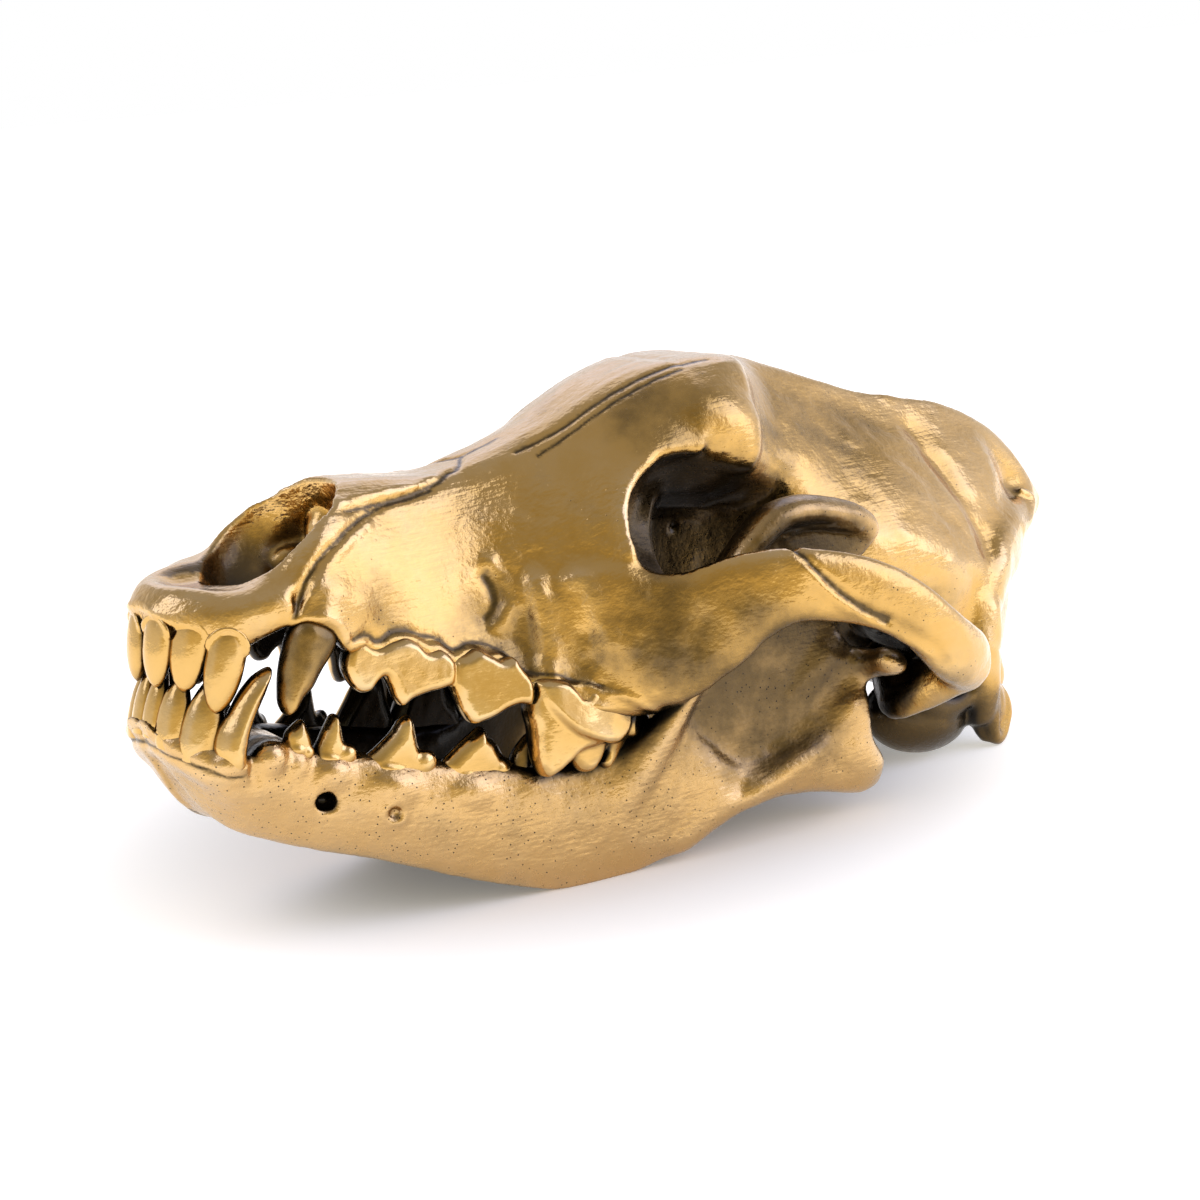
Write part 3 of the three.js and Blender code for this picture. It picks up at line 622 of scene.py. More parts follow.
def cheek_folds(clay):
    """The cheek widens in steps: a hollow, then a fold that faces sideways, twice over."""
    clay.trace([[73, 21], [77, 15], [79, 9], [79.6, 3]], 3.6, 1.1)
    clay.trace([[80, 21], [81.4, 15], [83, 9], [84, 2.6]], 3, -1.6)
    clay.trace([[88, 20], [89.6, 13], [91.4, 6]], 2.8, 0.9)
    clay.trace([[87.6, 24], [90, 19], [93.4, 14.4], [96.4, 9.6]], 3.2, -1.4)
    clay.trace([[101, 27], [106, 21], [112, 17]], 5, 0.6)


def eye_rim(clay):
    clay.trace([[104, 53], [100, 47], [97.6, 39], [98, 32]], 2.6, -0.9)
    clay.spot((145, 26, 67), (8, 8, 13), 1.6)
    clay.spot((98, 40, 12), (10, 10, 6), -0.6)


def arch_lines(clay):
    clay.trace([[128.6, 40], [131.6, 36.8], [134.8, 34.6], [139, 32], [145.6, 29.2], [152.4, 27.4]],
               0.9, 1.4)
    clay.trace([[152.4, 27.4], [160.6, 25], [167.4, 22.6], [171, 19.6]], 1.7, 0.7)
    clay.trace([[130.6, 35.6], [134.4, 32.4], [139, 29.8], [146, 27.2], [152.6, 25.6], [160, 23.4],
                [166, 21.2]], 1.2, -0.6)


def rear_lines(clay):
    clay.spot((248, 10, 64), (6, 6, 6), 0.5)
    clay.stroke([[250, 9, 71, 1.6, -1.4], [258, 9, 68, 1.8, -1.6], [254, 13, 61.6, 1.8, -1.6],
                 [246, 18, 58, 1.4, -1]])
    clay.stroke([[208, 6, 77, 4, 1.0], [213, 14, 71, 4, 1.6], [219, 22, 63, 4, 1.8],
                 [224, 28, 53, 4, 1.6], [224, 33, 40, 3.6, 1]])


nose_and_cheek(cranium_clay)
cheek_folds(cranium_clay)
eye_rim(cranium_clay)
arch_lines(cranium_clay)
rear_lines(cranium_clay)
print("lines and hollows are pressed in")

# %% [markdown]
# ## The lower jaw
#
# Each half of the jaw is a deep bar that thins into an upright plate for the jaw muscles, with
# a knob at the back that sits in the joint. The two halves meet under the front teeth.

# %% Curves of the lower jaw
JAW_TOP = through([
    [1, -24.6], [8, -27], [16, -29.6], [21, -26], [27, -22.6], [34, -23.8], [54, -23.2],
    [80, -21.8], [96, -18.6], [106, -13], [114, -7.4], [121, -4.6], [128, -9], [138, -13],
    [154, -7], [166, -3], [176, -6]])
JAW_BOTTOM = through([
    [1, -24], [4, -28], [8, -32.5], [13, -37.4], [18, -41.2], [26, -44.6], [40, -45.9], [55, -46.4],
    [72, -47.8], [88, -48.8], [100, -48.2], [110, -45.6], [120, -40.4], [130, -32.6], [142, -23.6],
    [156, -17.4], [168, -15.2], [176, -14.6]])
JAW_OUTSIDE = through([
    [1, 7], [6, 12.4], [14, 17.8], [22, 20.2], [34, 21.6], [54, 26.4], [73, 30], [90, 33.4],
    [110, 37.6], [128, 42], [142, 44.6], [160, 46.4], [176, 45.6]])
JAW_THICK = through([
    [1, 6], [8, 10], [20, 12.5], [40, 11.5], [70, 11.5], [95, 12.5], [112, 11], [126, 8.4],
    [142, 7], [166, 6.4], [176, 4]])
JAW_KEEL = through([
    [1, 3], [8, 3.6], [17, 5.6], [26, 10], [36, 14], [54, 20], [73, 25], [90, 29], [110, 33.4],
    [130, 38.6], [150, 42.6], [176, 43.6]])


def jaw_ring(x, around):
    high, low = JAW_TOP(x), JAW_BOTTOM(x)
    deep = high - low
    out = JAW_OUTSIDE(x)
    inn = out - JAW_THICK(x)
    edge = JAW_KEEL(x)
    loop = spline([
        [edge, low], [(2 * edge + out) / 3 + 1, low + 0.1 * deep], [out, low + 0.5 * deep],
        [out - 0.4, low + 0.82 * deep], [out - 2.4, high], [inn + 2, high],
        [inn, low + 0.6 * deep], [max(inn, edge - 3.4), low + 0.14 * deep]],
        around, closed=True)
    return np.column_stack([np.full(around, x), loop])


def chin_ring(x, around):
    top, low = JAW_TOP(x) + 1, JAW_BOTTOM(x) + 0.5
    half, keel = JAW_OUTSIDE(x) * 0.6, JAW_KEEL(x)
    return ring_from_half(x, [
        [0, low + 0.6], [keel, low + 0.6], [half, (low + top) / 2], [half, top - 2],
        [0, top - 1]], around)


RAMUS = [
    [110, -34], [112, -16], [117, -9], [121, 2], [123, 16], [123.6, 31], [127.6, 40], [131, 46],
    [136, 50.2], [142, 52.6], [151, 53.6], [159.5, 53.4], [165.2, 51.4], [167, 48.2], [164.6, 43],
    [160.4, 37], [158.6, 30], [160.4, 24], [167, 18], [171, 8], [171, -1], [176, -5.6], [180, -8],
    [180, -13], [172, -15.6], [160, -16], [142, -22], [126, -36]]
MUSCLE_EDGE = [
    [158, 17], [163, 15], [167.6, 12], [168, 4], [171.6, -4], [179, -8], [179, -12], [160, -15],
    [142, -21], [128, -33], [133, -24], [142, -14], [149, -4], [154, 6]]


def jaw_masses():
    clay = Clay((-6, -2, -52), (186, 62, 58), CELL)
    clay.add(skin(jaw_ring, 1, 176), 0)
    clay.add(skin(chin_ring, 0.8, 38), 2)
    clay.add_plate(RAMUS, 33.6, 6, 0.13, 0.02, edge=2.4, fillet=3)
    clay.add_plate(MUSCLE_EDGE, 41.4, 5.2, 0.13, 0.02, edge=2.4, fillet=7.5)
    clay.add(limb([
        [105, 30, -36, 3, 4], [111.4, 35.4, -19, 3.4, 4.8], [117.6, 38.6, -4, 3.6, 4.2],
        [123.4, 39.6, 10, 3.2, 3.2], [125.6, 41, 31, 3.4, 3.2], [130.4, 42, 41, 4, 3.4],
        [135.4, 42.6, 46.6, 4.2, 3.6], [142, 43, 49.4, 4.2, 3.4], [151, 43.2, 50.4, 4, 3.2],
        [160, 43.2, 50, 3.6, 3.2], [165, 43, 48, 2.6, 2.6]]), 3)
    clay.add(limb([[169, 28, 13, 3.2, 4], [169.4, 38, 14.4, 4, 5], [170, 46, 16, 4.4, 3.8],
                   [171, 52, 17.4, 4, 3.2]]), 3)
    clay.add_egg((171, 52.4, 17.6), (4.8, 4, 3.4), 10, 0, 1.5)
    clay.add(limb([[6.6, -4, -26.8, 3.1, 3.4], [6.6, 0, -26.8, 3.1, 3.4], [6.7, 2.8, -27, 3.1, 3.4],
                   [8, 7.6, -27.8, 3.4, 3.6], [10.8, 12.2, -28.8, 3.8, 3.8],
                   [14.4, 16.6, -29.8, 3.8, 3.8], [19.4, 19, -29.2, 3, 3]]), 2.5)
    for x, y, z in ((6.8, 8.4, -26), (10.8, 13.2, -27), (15, 18, -27.6)):
        clay.add_egg((x, y, z), (3, 3.2, 3.4), 0, 0, 2)
    clay.add(limb([[167, 44.6, 6, 2.4, 5], [171, 46, -4, 3, 5], [177, 45.6, -10, 3, 3.6]]), 4)
    for x, y, z, wide in ((24, 18.6, -26.4, 4), (30.6, 18, -27.4, 3), (39.6, 20.4, -28, 4.4),
                          (55, 24, -29, 6.4), (73.6, 27, -28, 6.4), (91, 29, -26, 8)):
        clay.add_egg((x, y, z), (wide, 3.6, 4), 0, 0, 2)
    return clay


def jaw_lines(clay):
    clay.cut_egg((38.4, 22.4, -34.4), (2.2, 4, 1.9), 0, 0, 0.8)
    clay.spot((38.4, 23, -33), (3.4, 3, 3), 0.5)
    clay.cut_egg((53.8, 28, -34.6), (1.8, 2, 1.6), 0, 0, 0.8)
    clay.spot((140, 45, 14), (13, 8, 24), 1.5, 20)
    clay.stroke([[3.5, 0, -27.8, 0.8, 0.5], [3.6, 3, -28.2, 0.8, 0.5], [4.3, 6, -28.2, 0.8, 0.5],
                 [5.2, 9.4, -29, 0.8, 0.5], [6.6, 12.4, -29.4, 0.8, 0.5],
                 [8.2, 15.6, -30, 0.8, 0.5], [11.2, 18.2, -30.4, 0.8, 0.5],
                 [15, 20.2, -31, 0.8, 0.5], [19.6, 21.8, -29.8, 0.8, 0.5]])
    turn = np.linspace(0, 2 * np.pi, 13)
    clay.trace([[53.8 + 2.5 * math.cos(t), -34.6 + 2.4 * math.sin(t)] for t in turn], 0.9, -0.8)
    clay.spot((53.8, 26.6, -34.6), (1.6, 3, 1.6), 1.1)
    clay.trace([[162, 11], [156, 4], [150, -4], [145, -10], [138, -17]], 4, 2)
    clay.trace([[168, 9], [164, 1], [158, -7], [151, -13], [143, -19]], 3, -0.9)
    clay.trace([[136.7, 38.8], [140.2, 43.6], [144.4, 46], [152.3, 47.4], [159, 47.8]], 0.8, -0.6)


jaw_clay = jaw_masses()
jaw_lines(jaw_clay)
print("jaw clay:", jaw_clay.gap.shape, "cells")

# %% [markdown]
# ## Cheek teeth and fangs
#
# A wolf's cheek teeth are blades set edge to edge along the jaw. Each is laid down as a domed
# plate: its outline is drawn in the side view and its outer face follows the curve of the row.
# Sharper domes give the faceted look of the lower teeth, which end in ridges.

# %% Cheek teeth and fangs
TOOTH_CELL = 0.36
UPPER_WALL = through([
    [18, 23], [24, 25], [31, 25.8], [36, 24.8], [41, 25.4], [50, 27], [59, 28.8], [67, 31.2],
    [76, 34.2], [85.5, 38.2], [97.6, 40], [105, 38.4], [113, 34.6], [118, 32]])
LOWER_WALL = through([[8, 18.4], [14, 21.8], [20, 22.8], [27, 20.4], [37, 21.6], [54, 25.2],
                      [73, 28.4], [90, 30], [104, 31]])
UPPER_FANG = [
    [24, 5.4], [22.2, 3], [21.6, -0.4], [21.4, -6.6], [21.9, -11], [22.8, -14.4], [24.5, -16.2],
    [26.2, -15], [27.3, -12.2], [29, -9.6], [30.6, -5.4], [32.6, -1], [33.2, 1.8], [31.8, 4.4],
    [29.2, 5.6], [26.6, 6]]
LOWER_FANG = [
    [19.8, -6.4], [17, -8.2], [15.2, -10.6], [13.6, -14], [12.4, -18], [11, -22], [11, -26],
    [13.2, -29], [16.2, -30], [17.6, -28.4], [17.4, -24.6], [17.6, -20.4], [18.4, -16],
    [19.7, -11.4], [20.3, -8]]
UPPER_CROWNS = [
    [5.8, 0, -0.1, [
        [36, 0.6], [35.4, -3.3], [37, -6.6], [40.1, -9], [42.6, -8.4], [44, -6.2], [45.4, -4.9],
        [47.1, -6.6], [48.8, -9.4], [50.5, -10.6], [52.8, -8.7], [56, -7], [59.3, -5.6], [61.6, -4],
        [61.2, 1], [57.9, 3.1], [54.9, 2.2], [52, 3.9], [49.2, 4.4], [46, 3.2], [42.3, 1.4],
        [38.9, 2.5]]],
    [6.2, 0, -0.1, [
        [61.2, 1.2], [61.3, -4], [62.8, -6.8], [64.8, -10.2], [67.1, -12.2], [69.8, -11.2],
        [72.5, -9.4], [74.9, -7.4], [77.2, -6.2], [79.3, -5.8], [79.2, -1], [76.3, 2.3],
        [74.4, 4.1], [71.6, 3], [69.2, 3.7], [66.1, 4.4], [63.7, 2.8]]],
    [8, -0.3, -0.04, [
        [80.3, -2], [79.9, -7.8], [81.4, -11.6], [82.6, -16], [83.9, -19.6], [86, -21.8],
        [88.4, -20.4], [91, -17.6], [93.4, -14.8], [98, -12.5], [100, -9], [96, -5], [86, -2]]],
    [9, 0.1, -0.2, [
        [79.3, -0.6], [81.4, 0.5], [86.5, 1], [89.6, -0.8], [90.7, -1.8], [91.6, -0.4], [93.3, 0.4],
        [95.2, -0.2], [97.2, -2.4], [101.9, -1.3], [104.6, -1.4], [106, -3.6], [105.8, -8.4],
        [102.4, -11.6], [99, -12.2], [90.7, -11.2], [85.2, -8.4], [81, -4.8]]],
    [5.6, -1.8, 0, [
        [91.8, -13], [92, -16], [93.8, -18.4], [96, -19.6], [98.6, -19], [100.4, -16.8],
        [101.4, -13], [100, -8], [94, -8]]],
    [7.6, -1.4, 0.02, [
        [101.6, -9], [101.4, -14], [101.4, -17.4], [103.4, -18.6], [105.6, -16.6], [107.2, -13.6],
        [109.6, -11.8], [112, -9.4], [110, -4], [105, -4]]],
    [9, 0, -0.16, [
        [106.2, -3.2], [108.4, -2.2], [110.8, -2.6], [113.6, -3.4], [116, -5.4], [114, -8.4],
        [111.4, -10], [108, -10.8], [106, -9.4]]]]
LOWER_CROWNS = [
    [4.4, 2.4, [[27.2, -20.9], [28.5, -18.6], [30.4, -17], [32, -18.7], [33.6, -21.4], [33.6, -24],
    [31, -25.4], [28, -24.6]]], [4.8, 2.6, [[34.6, -24.4], [35.3, -21], [36.2, -17.6], [37.3, -15],
                                            [38.5, -15], [39.8, -17.4], [41, -20.2], [42.8, -21.8],
                [44.6, -23.4], [43, -26], [39, -27], [36, -26.4]]],
    [5, 2.9, [[46.6, -24.2], [48.9, -20.8], [51.4, -17.2], [52.9, -14], [54.4, -12.6],
              [55.8, -13.6], [57.2, -16.6], [58.7, -19.6], [60.6, -20.4], [63, -22.6], [61.6, -26],
              [55, -27.6], [49.6, -27]]],
    [5.2, 3, [[64.9, -23], [67.3, -19], [70.3, -15.4], [72.9, -13], [75.2, -14.8], [76.8, -15.6],
              [79.3, -18.2], [82.2, -21.2], [81, -25.6], [73, -27], [67, -26.4]]],
    [5.6, 3, [[82.2, -21.4], [83.6, -16.4], [86.4, -13], [88.6, -14], [90.4, -10.4], [93, -8.4],
              [95.4, -11.4], [97.6, -16], [101.4, -17.6], [104, -18.4], [104, -24], [92, -26],
              [83.4, -26]]]]


def upper_row():
    clay = Clay((14, -1, -24), (120, 46, 9), TOOTH_CELL)
    clay.add_crown(UPPER_FANG, UPPER_WALL, 8.6, dome=4.6, sharp=1.9, lean=-0.02)
    for thick, proud, lean, outline in UPPER_CROWNS:
        clay.add_crown(outline, lambda x: UPPER_WALL(x) + proud, thick, 2.0, 2.0, lean, 0.5)
    clay.add_egg((103, 31, -8), (5, 8, 6), fillet=2)
    clay.add_egg((110.6, 28, -7), (4, 6, 4.6), fillet=2)
    return clay


def lower_row():
    clay = Clay((4, -1, -34), (110, 36, -2), TOOTH_CELL)
    clay.add_crown(LOWER_FANG, LOWER_WALL, 8, dome=4.2, sharp=1.8, lean=-0.04)
    for thick, dome, outline in LOWER_CROWNS:
        clay.add_crown(outline, LOWER_WALL, thick + 1, dome + 0.2, 1.7, lean=0.02, fillet=0.4)
    for x, z, size in ((32.6, -24, 1.7), (42, -23.4, 2.3), (60.4, -23, 2.9), (79.4, -22.2, 2.9),
                       (99.4, -20.4, 3)):
        clay.add_egg((x, LOWER_WALL(x) - 1.9, z), (size, 2.2, 1.1 * size), 20, 0, 0.5)
    for x, z, size in ((30.4, -23.6, 2.6), (39, -24.6, 3.8), (54, -25, 5.6), (73, -24.4, 6),
                       (90, -23, 7.4)):
        clay.add_egg((x, LOWER_WALL(x) - 2.6, z), (size, 3, 1.7), 0, 0, 0.5)
    return clay


upper_clay, lower_clay = upper_row(), lower_row()
print("upper row", upper_clay.gap.shape, "and lower row", lower_clay.gap.shape, "cells of",
      TOOTH_CELL, "mm")

# %% [markdown]
# ## From clay to mesh
#
# A casting is never as smooth as a formula. It keeps the founder's wax work: broad soft lumps on
# the braincase, hammered pits on the cheek and fine combed lines along the forehead. Anything
# wide enough to move a highlight is real geometry here, pushed along the surface's own normal
# by smooth random values; only the grain finer than a mesh cell is left to the material.
# The two bones are fine enough for their thin lines all over, which is more than their broad
# faces need, so a Decimate modifier merges faces there.

# %% Smooth random values
LATTICE = 32
SKEW = np.array([[0.80, 0.52, -0.30], [-0.36, 0.82, 0.44], [0.48, -0.24, 0.84]])


def lumps(points, length, seed, stretch=(1, 1, 1)):
    """Random values from -1 to 1 that change smoothly over about length mm."""
    table = np.random.default_rng(seed).uniform(-1, 1, (LATTICE,) * 3)
    at = (points / np.array(stretch)) @ SKEW / length
    cell = np.floor(at).astype(int)
    part = at - cell
    part = part * part * (3 - 2 * part)
    total = np.zeros(len(points))
    for corner in np.ndindex(2, 2, 2):
        share = np.prod(np.where(corner, part, 1 - part), axis=1)
        i, j, k = ((cell + corner) % LATTICE).T
        total += share * table[i, j, k]
    return total


def patch(points, centre, half):
    """One at the centre, on both sides of the skull, fading to nothing past the half sizes."""
    side = np.column_stack([points[:, 0], np.abs(points[:, 1]), points[:, 2]])
    return np.exp(-(((side - centre) / half) ** 4).sum(1))


def normals_of(points, quads):
    a, b, c, d = (points[quads[:, k]] for k in range(4))
    face = np.cross(c - a, d - b)
    total = np.stack([
        sum(np.bincount(quads[:, n], face[:, k], len(points)) for n in range(4))
        for k in range(3)], 1)
    return total / np.maximum(np.linalg.norm(total, axis=1), 1e-9)[:, None]


def skull_unevenness(points, normals):
    out = 0.24 * lumps(points, 13, 1) + 0.13 * lumps(points, 6, 2) + 0.05 * lumps(points, 2.8, 14)
    brain = patch(points, (196, 22, 56), (56, 30, 34))
    out += brain * (0.42 * lumps(points, 12, 3, (1, 1, 0.7))
                    + 0.26 * lumps(points, 5.5, 4, (1.3, 1, 0.8))
                    + 0.10 * lumps(points, 2.6, 5))
    cheek = patch(points, (90, 36, 20), (26, 26, 24))
    out += cheek * (0.30 * lumps(points, 6.5, 6) + 0.2 * lumps(points, 3, 7))
    comb = patch(points, (104, 0, 70), (52, 15, 24)) * np.clip(2 * normals[:, 2] - 0.6, 0, 1)
    out += 0.16 * comb * lumps(points, 2.2, 8, (14, 1, 14))
    out += 0.5 * patch(points, (36, 0, 22), (16, 12, 13)) * lumps(points, 5, 9)
    return out


def jaw_unevenness(points, normals):
    out = 0.16 * lumps(points, 9, 11) + 0.09 * lumps(points, 3.6, 12)
    out = out + 0.05 * lumps(points, 2.2, 15)
    out += 0.22 * patch(points, (12, 8, -34), (16, 14, 14)) * lumps(points, 7, 13)
    return out


def tooth_unevenness(points, normals):
    return 0.06 * lumps(points, 4, 21) + 0.03 * lumps(points, 1.8, 22)


print("at its centre a patch counts for", patch(np.zeros((1, 3)), (0, 0, 0), (1, 1, 1)))

# %% Smooth, roughen and fill a mesh
RELAX_ROUNDS = 4


def relax(points, quads, rounds=RELAX_ROUNDS):
    """Evens out the grid's small steps: each pull inwards is followed by a push outwards."""
    a = np.concatenate([quads[:, 0], quads[:, 1], quads[:, 2], quads[:, 3]])
    b = np.concatenate([quads[:, 1], quads[:, 2], quads[:, 3], quads[:, 0]])
    count = np.bincount(a, minlength=len(points)) + np.bincount(b, minlength=len(points))
    for _ in range(rounds):
        for weight in (0.5, -0.53):
            middle = np.stack([
                (np.bincount(a, points[b, k], len(points))
                 + np.bincount(b, points[a, k], len(points))) / count
                for k in range(3)], 1)
            points = points + weight * (middle - points)
    return points


def fill_mesh(name, points, quads):
    """A smooth mesh object from points in skull axes, kept inside the box of the solids."""
    rest = to_rest(points)
    rest = np.clip(rest, np.array(CAD_LOW) + 2e-6, np.array(CAD_HIGH) - 2e-6)
    mesh = bpy.data.meshes.new(name)
    mesh.vertices.add(len(rest))
    mesh.vertices.foreach_set("co", rest.astype(np.float32).ravel())
    mesh.loops.add(quads.size)
    mesh.loops.foreach_set("vertex_index", quads.astype(np.int32).ravel())
    mesh.polygons.add(len(quads))
    mesh.polygons.foreach_set("loop_start", np.arange(len(quads), dtype=np.int32) * 4)
    mesh.update(calc_edges=True)
    mesh.polygons.foreach_set("use_smooth", np.ones(len(quads), bool))
    piece = bpy.data.objects.new(name, mesh)
    bpy.context.scene.collection.objects.link(piece)
    box = [round(float(v), 1) for v in (rest.max(0) - rest.min(0)) * 1000]
    print(name, len(points), "points,", len(quads), "quads, box mm", box)
    return piece


MOST_TRIANGLES = 196000


def thin_out(piece):
    """Merges faces where the surface is flattest, until the piece has no more than MOST_TRIANGLES
    triangles.
    """
    triangles = 2 * len(piece.data.polygons)
    if triangles > MOST_TRIANGLES:
        thin = piece.modifiers.new("thin_out", "DECIMATE")
        thin.ratio = MOST_TRIANGLES / triangles
        evaluated = piece.evaluated_get(bpy.context.evaluated_depsgraph_get())
        full, light = piece.data, bpy.data.meshes.new_from_object(evaluated)
        piece.modifiers.remove(thin)
        piece.data = light
        bpy.data.meshes.remove(full)
        light.calc_loop_triangles()
        print(piece.name, "thinned from", triangles, "to", len(light.loop_triangles), "triangles")
    return piece


def make_piece(name, clay, unevenness, shape=None):
    points, quads = clay.skin()
    points = relax(points, quads)
    normals = normals_of(points, quads)
    points = points + normals * unevenness(points, normals)[:, None]
    return thin_out(fill_mesh(name, shape(points) if shape else points, quads))


def lift_far_lip(points):
    """The pattern is not quite even: its right nostril edge stands a little higher."""
    x, y, z = points.T
    side = np.clip((y - 3) / 9, 0, 1)
    near = np.exp(-((x - 11) / 8) ** 2) * np.clip(z / 5, 0, 1)
    return points + np.stack([0 * x, 0 * x, 3.2 * side * side * (3 - 2 * side) * near], 1)


def raise_far_teeth(points):
    """The rearmost lower teeth on the right are cast taller, which closes the mouth there."""
    x, y, z = points.T
    along = np.clip((x - 58) / 10, 0, 1) * np.clip((106 - x) / 6, 0, 1)
    return points + np.stack([0 * x, 0 * x, 7 * along * np.clip((z + 24) / 9, 0, 1) * (y > 5)], 1)


cranium = make_piece("cranium_bone", cranium_clay, skull_unevenness, shape=lift_far_lip)
jaw = make_piece("jaw_bone", jaw_clay, jaw_unevenness)
upper_teeth = make_piece("upper_teeth", upper_clay, tooth_unevenness)
lower_teeth = make_piece("lower_teeth", lower_clay, tooth_unevenness, shape=raise_far_teeth)

# %% [markdown]
# ## Front teeth
#
# Six cutting teeth stand above and six below, in an arc. The upper ones are spades that swell
# just below the gum and come to a blunt point, with a thin collar where they leave the bone; the
# lower ones are plainer and run straight into the chin. One crown of each kind is modelled, and
# Geometry Nodes sets a copy on each place of its row, turned to face outwards and sized for its
# place, as a dental technician would set one pattern many times.

# %% One crown in its own axes: x away from the lips, z down to the tip
CROWN_CELL = 0.32
CROWN_LONG_MM, CROWN_HALF_WIDE_MM, CROWN_HALF_DEEP_MM, CROWN_BOW_MM = 14.6, 2.75, 2.3, 0.9
ROOT = -0.32  # where the crown starts inside the bone, as a share of its length
SPADE = through([
    [ROOT, 0.5], [-0.16, 0.8], [-0.02, 0.95], [0.14, 1], [0.36, 0.98], [0.58, 0.87], [0.78, 0.66],
    [0.92, 0.38], [1, 0.04]])
SPIKE = through([
    [ROOT, 0.7], [-0.16, 0.92], [0, 1], [0.18, 0.99], [0.36, 0.93], [0.56, 0.76], [0.76, 0.5],
    [0.92, 0.24], [1, 0.04]])
COLLAR = [
    [-0.6, 2.7, -1.4, 0.4, 0.4], [-1.3, 2.5, 0.8, 0.5, 0.5], [-1.7, 1.4, 2.8, 0.5, 0.5],
    [-1.8, 0, 3.5, 0.5, 0.5], [-1.7, -1.4, 2.8, 0.5, 0.5], [-1.3, -2.5, 0.8, 0.5, 0.5],
    [-0.6, -2.7, -1.4, 0.4, 0.4]]


def crown_object(name, outline, collar=None):
    """A tooth crown whose half width follows an outline from root to tip."""
    clay = Clay((-4.5, -1, -17), (5, 5, 6), CROWN_CELL)
    t = np.linspace(ROOT, 1, 34)
    angle = np.linspace(0, 2 * np.pi, 30, endpoint=False)
    width = outline(t)
    bow = CROWN_BOW_MM * t[:, None] ** 2
    x = bow + (width ** 0.8)[:, None] * CROWN_HALF_DEEP_MM * np.cos(angle)
    y = width[:, None] * CROWN_HALF_WIDE_MM * np.sin(angle)
    z = np.repeat(-CROWN_LONG_MM * t[:, None], len(angle), 1)
    rings = np.stack([x, y, z], -1)
    middle = rings.mean(1)
    points = np.concatenate([rings.reshape(-1, 3), middle[:1], middle[-1:]])
    clay.add((points, *tube_faces(len(t), len(angle))), 0)
    if collar:
        clay.add(limb(collar, 16, 0.5), 0.5)
    points, quads = clay.skin()
    mesh = bpy.data.meshes.new(name)
    mesh.from_pydata(relax(points, quads, 3).tolist(), [], quads.tolist())
    made = bpy.data.objects.new(name, mesh)
    bpy.context.scene.collection.objects.link(made)
    print(name, "has", len(quads), "quads")
    return made


upper_crown = crown_object("upper_crown", SPADE, COLLAR)
lower_crown = crown_object("lower_crown", SPIKE)

# %% A node tree that sets one crown on every place of a row
def add_node(tree, kind, inputs=(), settings=(), **values):
    """Adds a node: inputs are (socket, value or output to link), settings its properties."""
    made = tree.nodes.new(kind)
    for key, value in dict(settings).items():
        setattr(made, key, value)
    named = [(key.replace("_", " "), value) for key, value in values.items()]
    for socket, value in named + list(inputs):
        if isinstance(value, bpy.types.NodeSocket):
            tree.links.new(value, made.inputs[socket])
        else:
            made.inputs[socket].default_value = value
    return made


def row_tree():
    """A crown on every point of a row, turned and sized by the point's own values."""
    tree = bpy.data.node_groups.new("tooth_row", "GeometryNodeTree")
    sockets = {}
    for name, kind in (("Places", "Geometry"), ("Crown", "Object"), ("Brass", "Material"),
                       ("Size", "Float")):
        made = tree.interface.new_socket(name, in_out="INPUT", socket_type="NodeSocket" + kind)
        sockets[name] = made.identifier
    tree.interface.new_socket("Teeth", in_out="OUTPUT", socket_type="NodeSocketGeometry")
    given = add_node(tree, "NodeGroupInput").outputs
    crown = add_node(tree, "GeometryNodeObjectInfo", Object=given["Crown"])
    vector = {"data_type": "FLOAT_VECTOR"}
    turn = add_node(tree, "GeometryNodeInputNamedAttribute", (), vector, Name="turn")
    size = add_node(tree, "GeometryNodeInputNamedAttribute", (), vector, Name="size")
    scale = add_node(tree, "ShaderNodeVectorMath", [(0, size.outputs["Attribute"])],
                     {"operation": "SCALE"}, Scale=given["Size"])
    teeth = add_node(
        tree, "GeometryNodeInstanceOnPoints", Points=given["Places"],
        Instance=crown.outputs["Geometry"], Rotation=turn.outputs["Attribute"],
        Scale=scale.outputs["Vector"])
    real = add_node(tree, "GeometryNodeRealizeInstances", Geometry=teeth.outputs["Instances"])
    paint = add_node(tree, "GeometryNodeSetMaterial", Geometry=real.outputs["Geometry"],
                     Material=given["Brass"])
    add_node(tree, "NodeGroupOutput", Teeth=paint.outputs["Geometry"])
    print("the row's tree has", len(tree.nodes), "nodes")
    return tree, sockets


ROW_TREE, ROW_SOCKETS = row_tree()

# %% Set the rows: [x, y, z of the gum, facing angle, lean, flip, across, deep, tall] for one side
UPPER_FRONT = [
    [-0.5, 4.9, -2.8, 12, 4, 0, 1.56, 1.05, 0.87],
    [3.8, 11.2, -2.2, 38, 3, 0, 1.66, 1.12, 0.89],
    [10.2, 16.4, -3.2, 62, -2, 0, 1.6, 1.34, 1.05]]
LOWER_FRONT = [
    [3.2, 2.8, -22.6, 12, 2, 180, 1.12, 1, 0.87],
    [5.1, 7.9, -23.8, 36, 2, 180, 1.42, 1.14, 0.95],
    [9.5, 13.3, -25, 56, 2, 180, 1.72, 1.3, 1.02]]


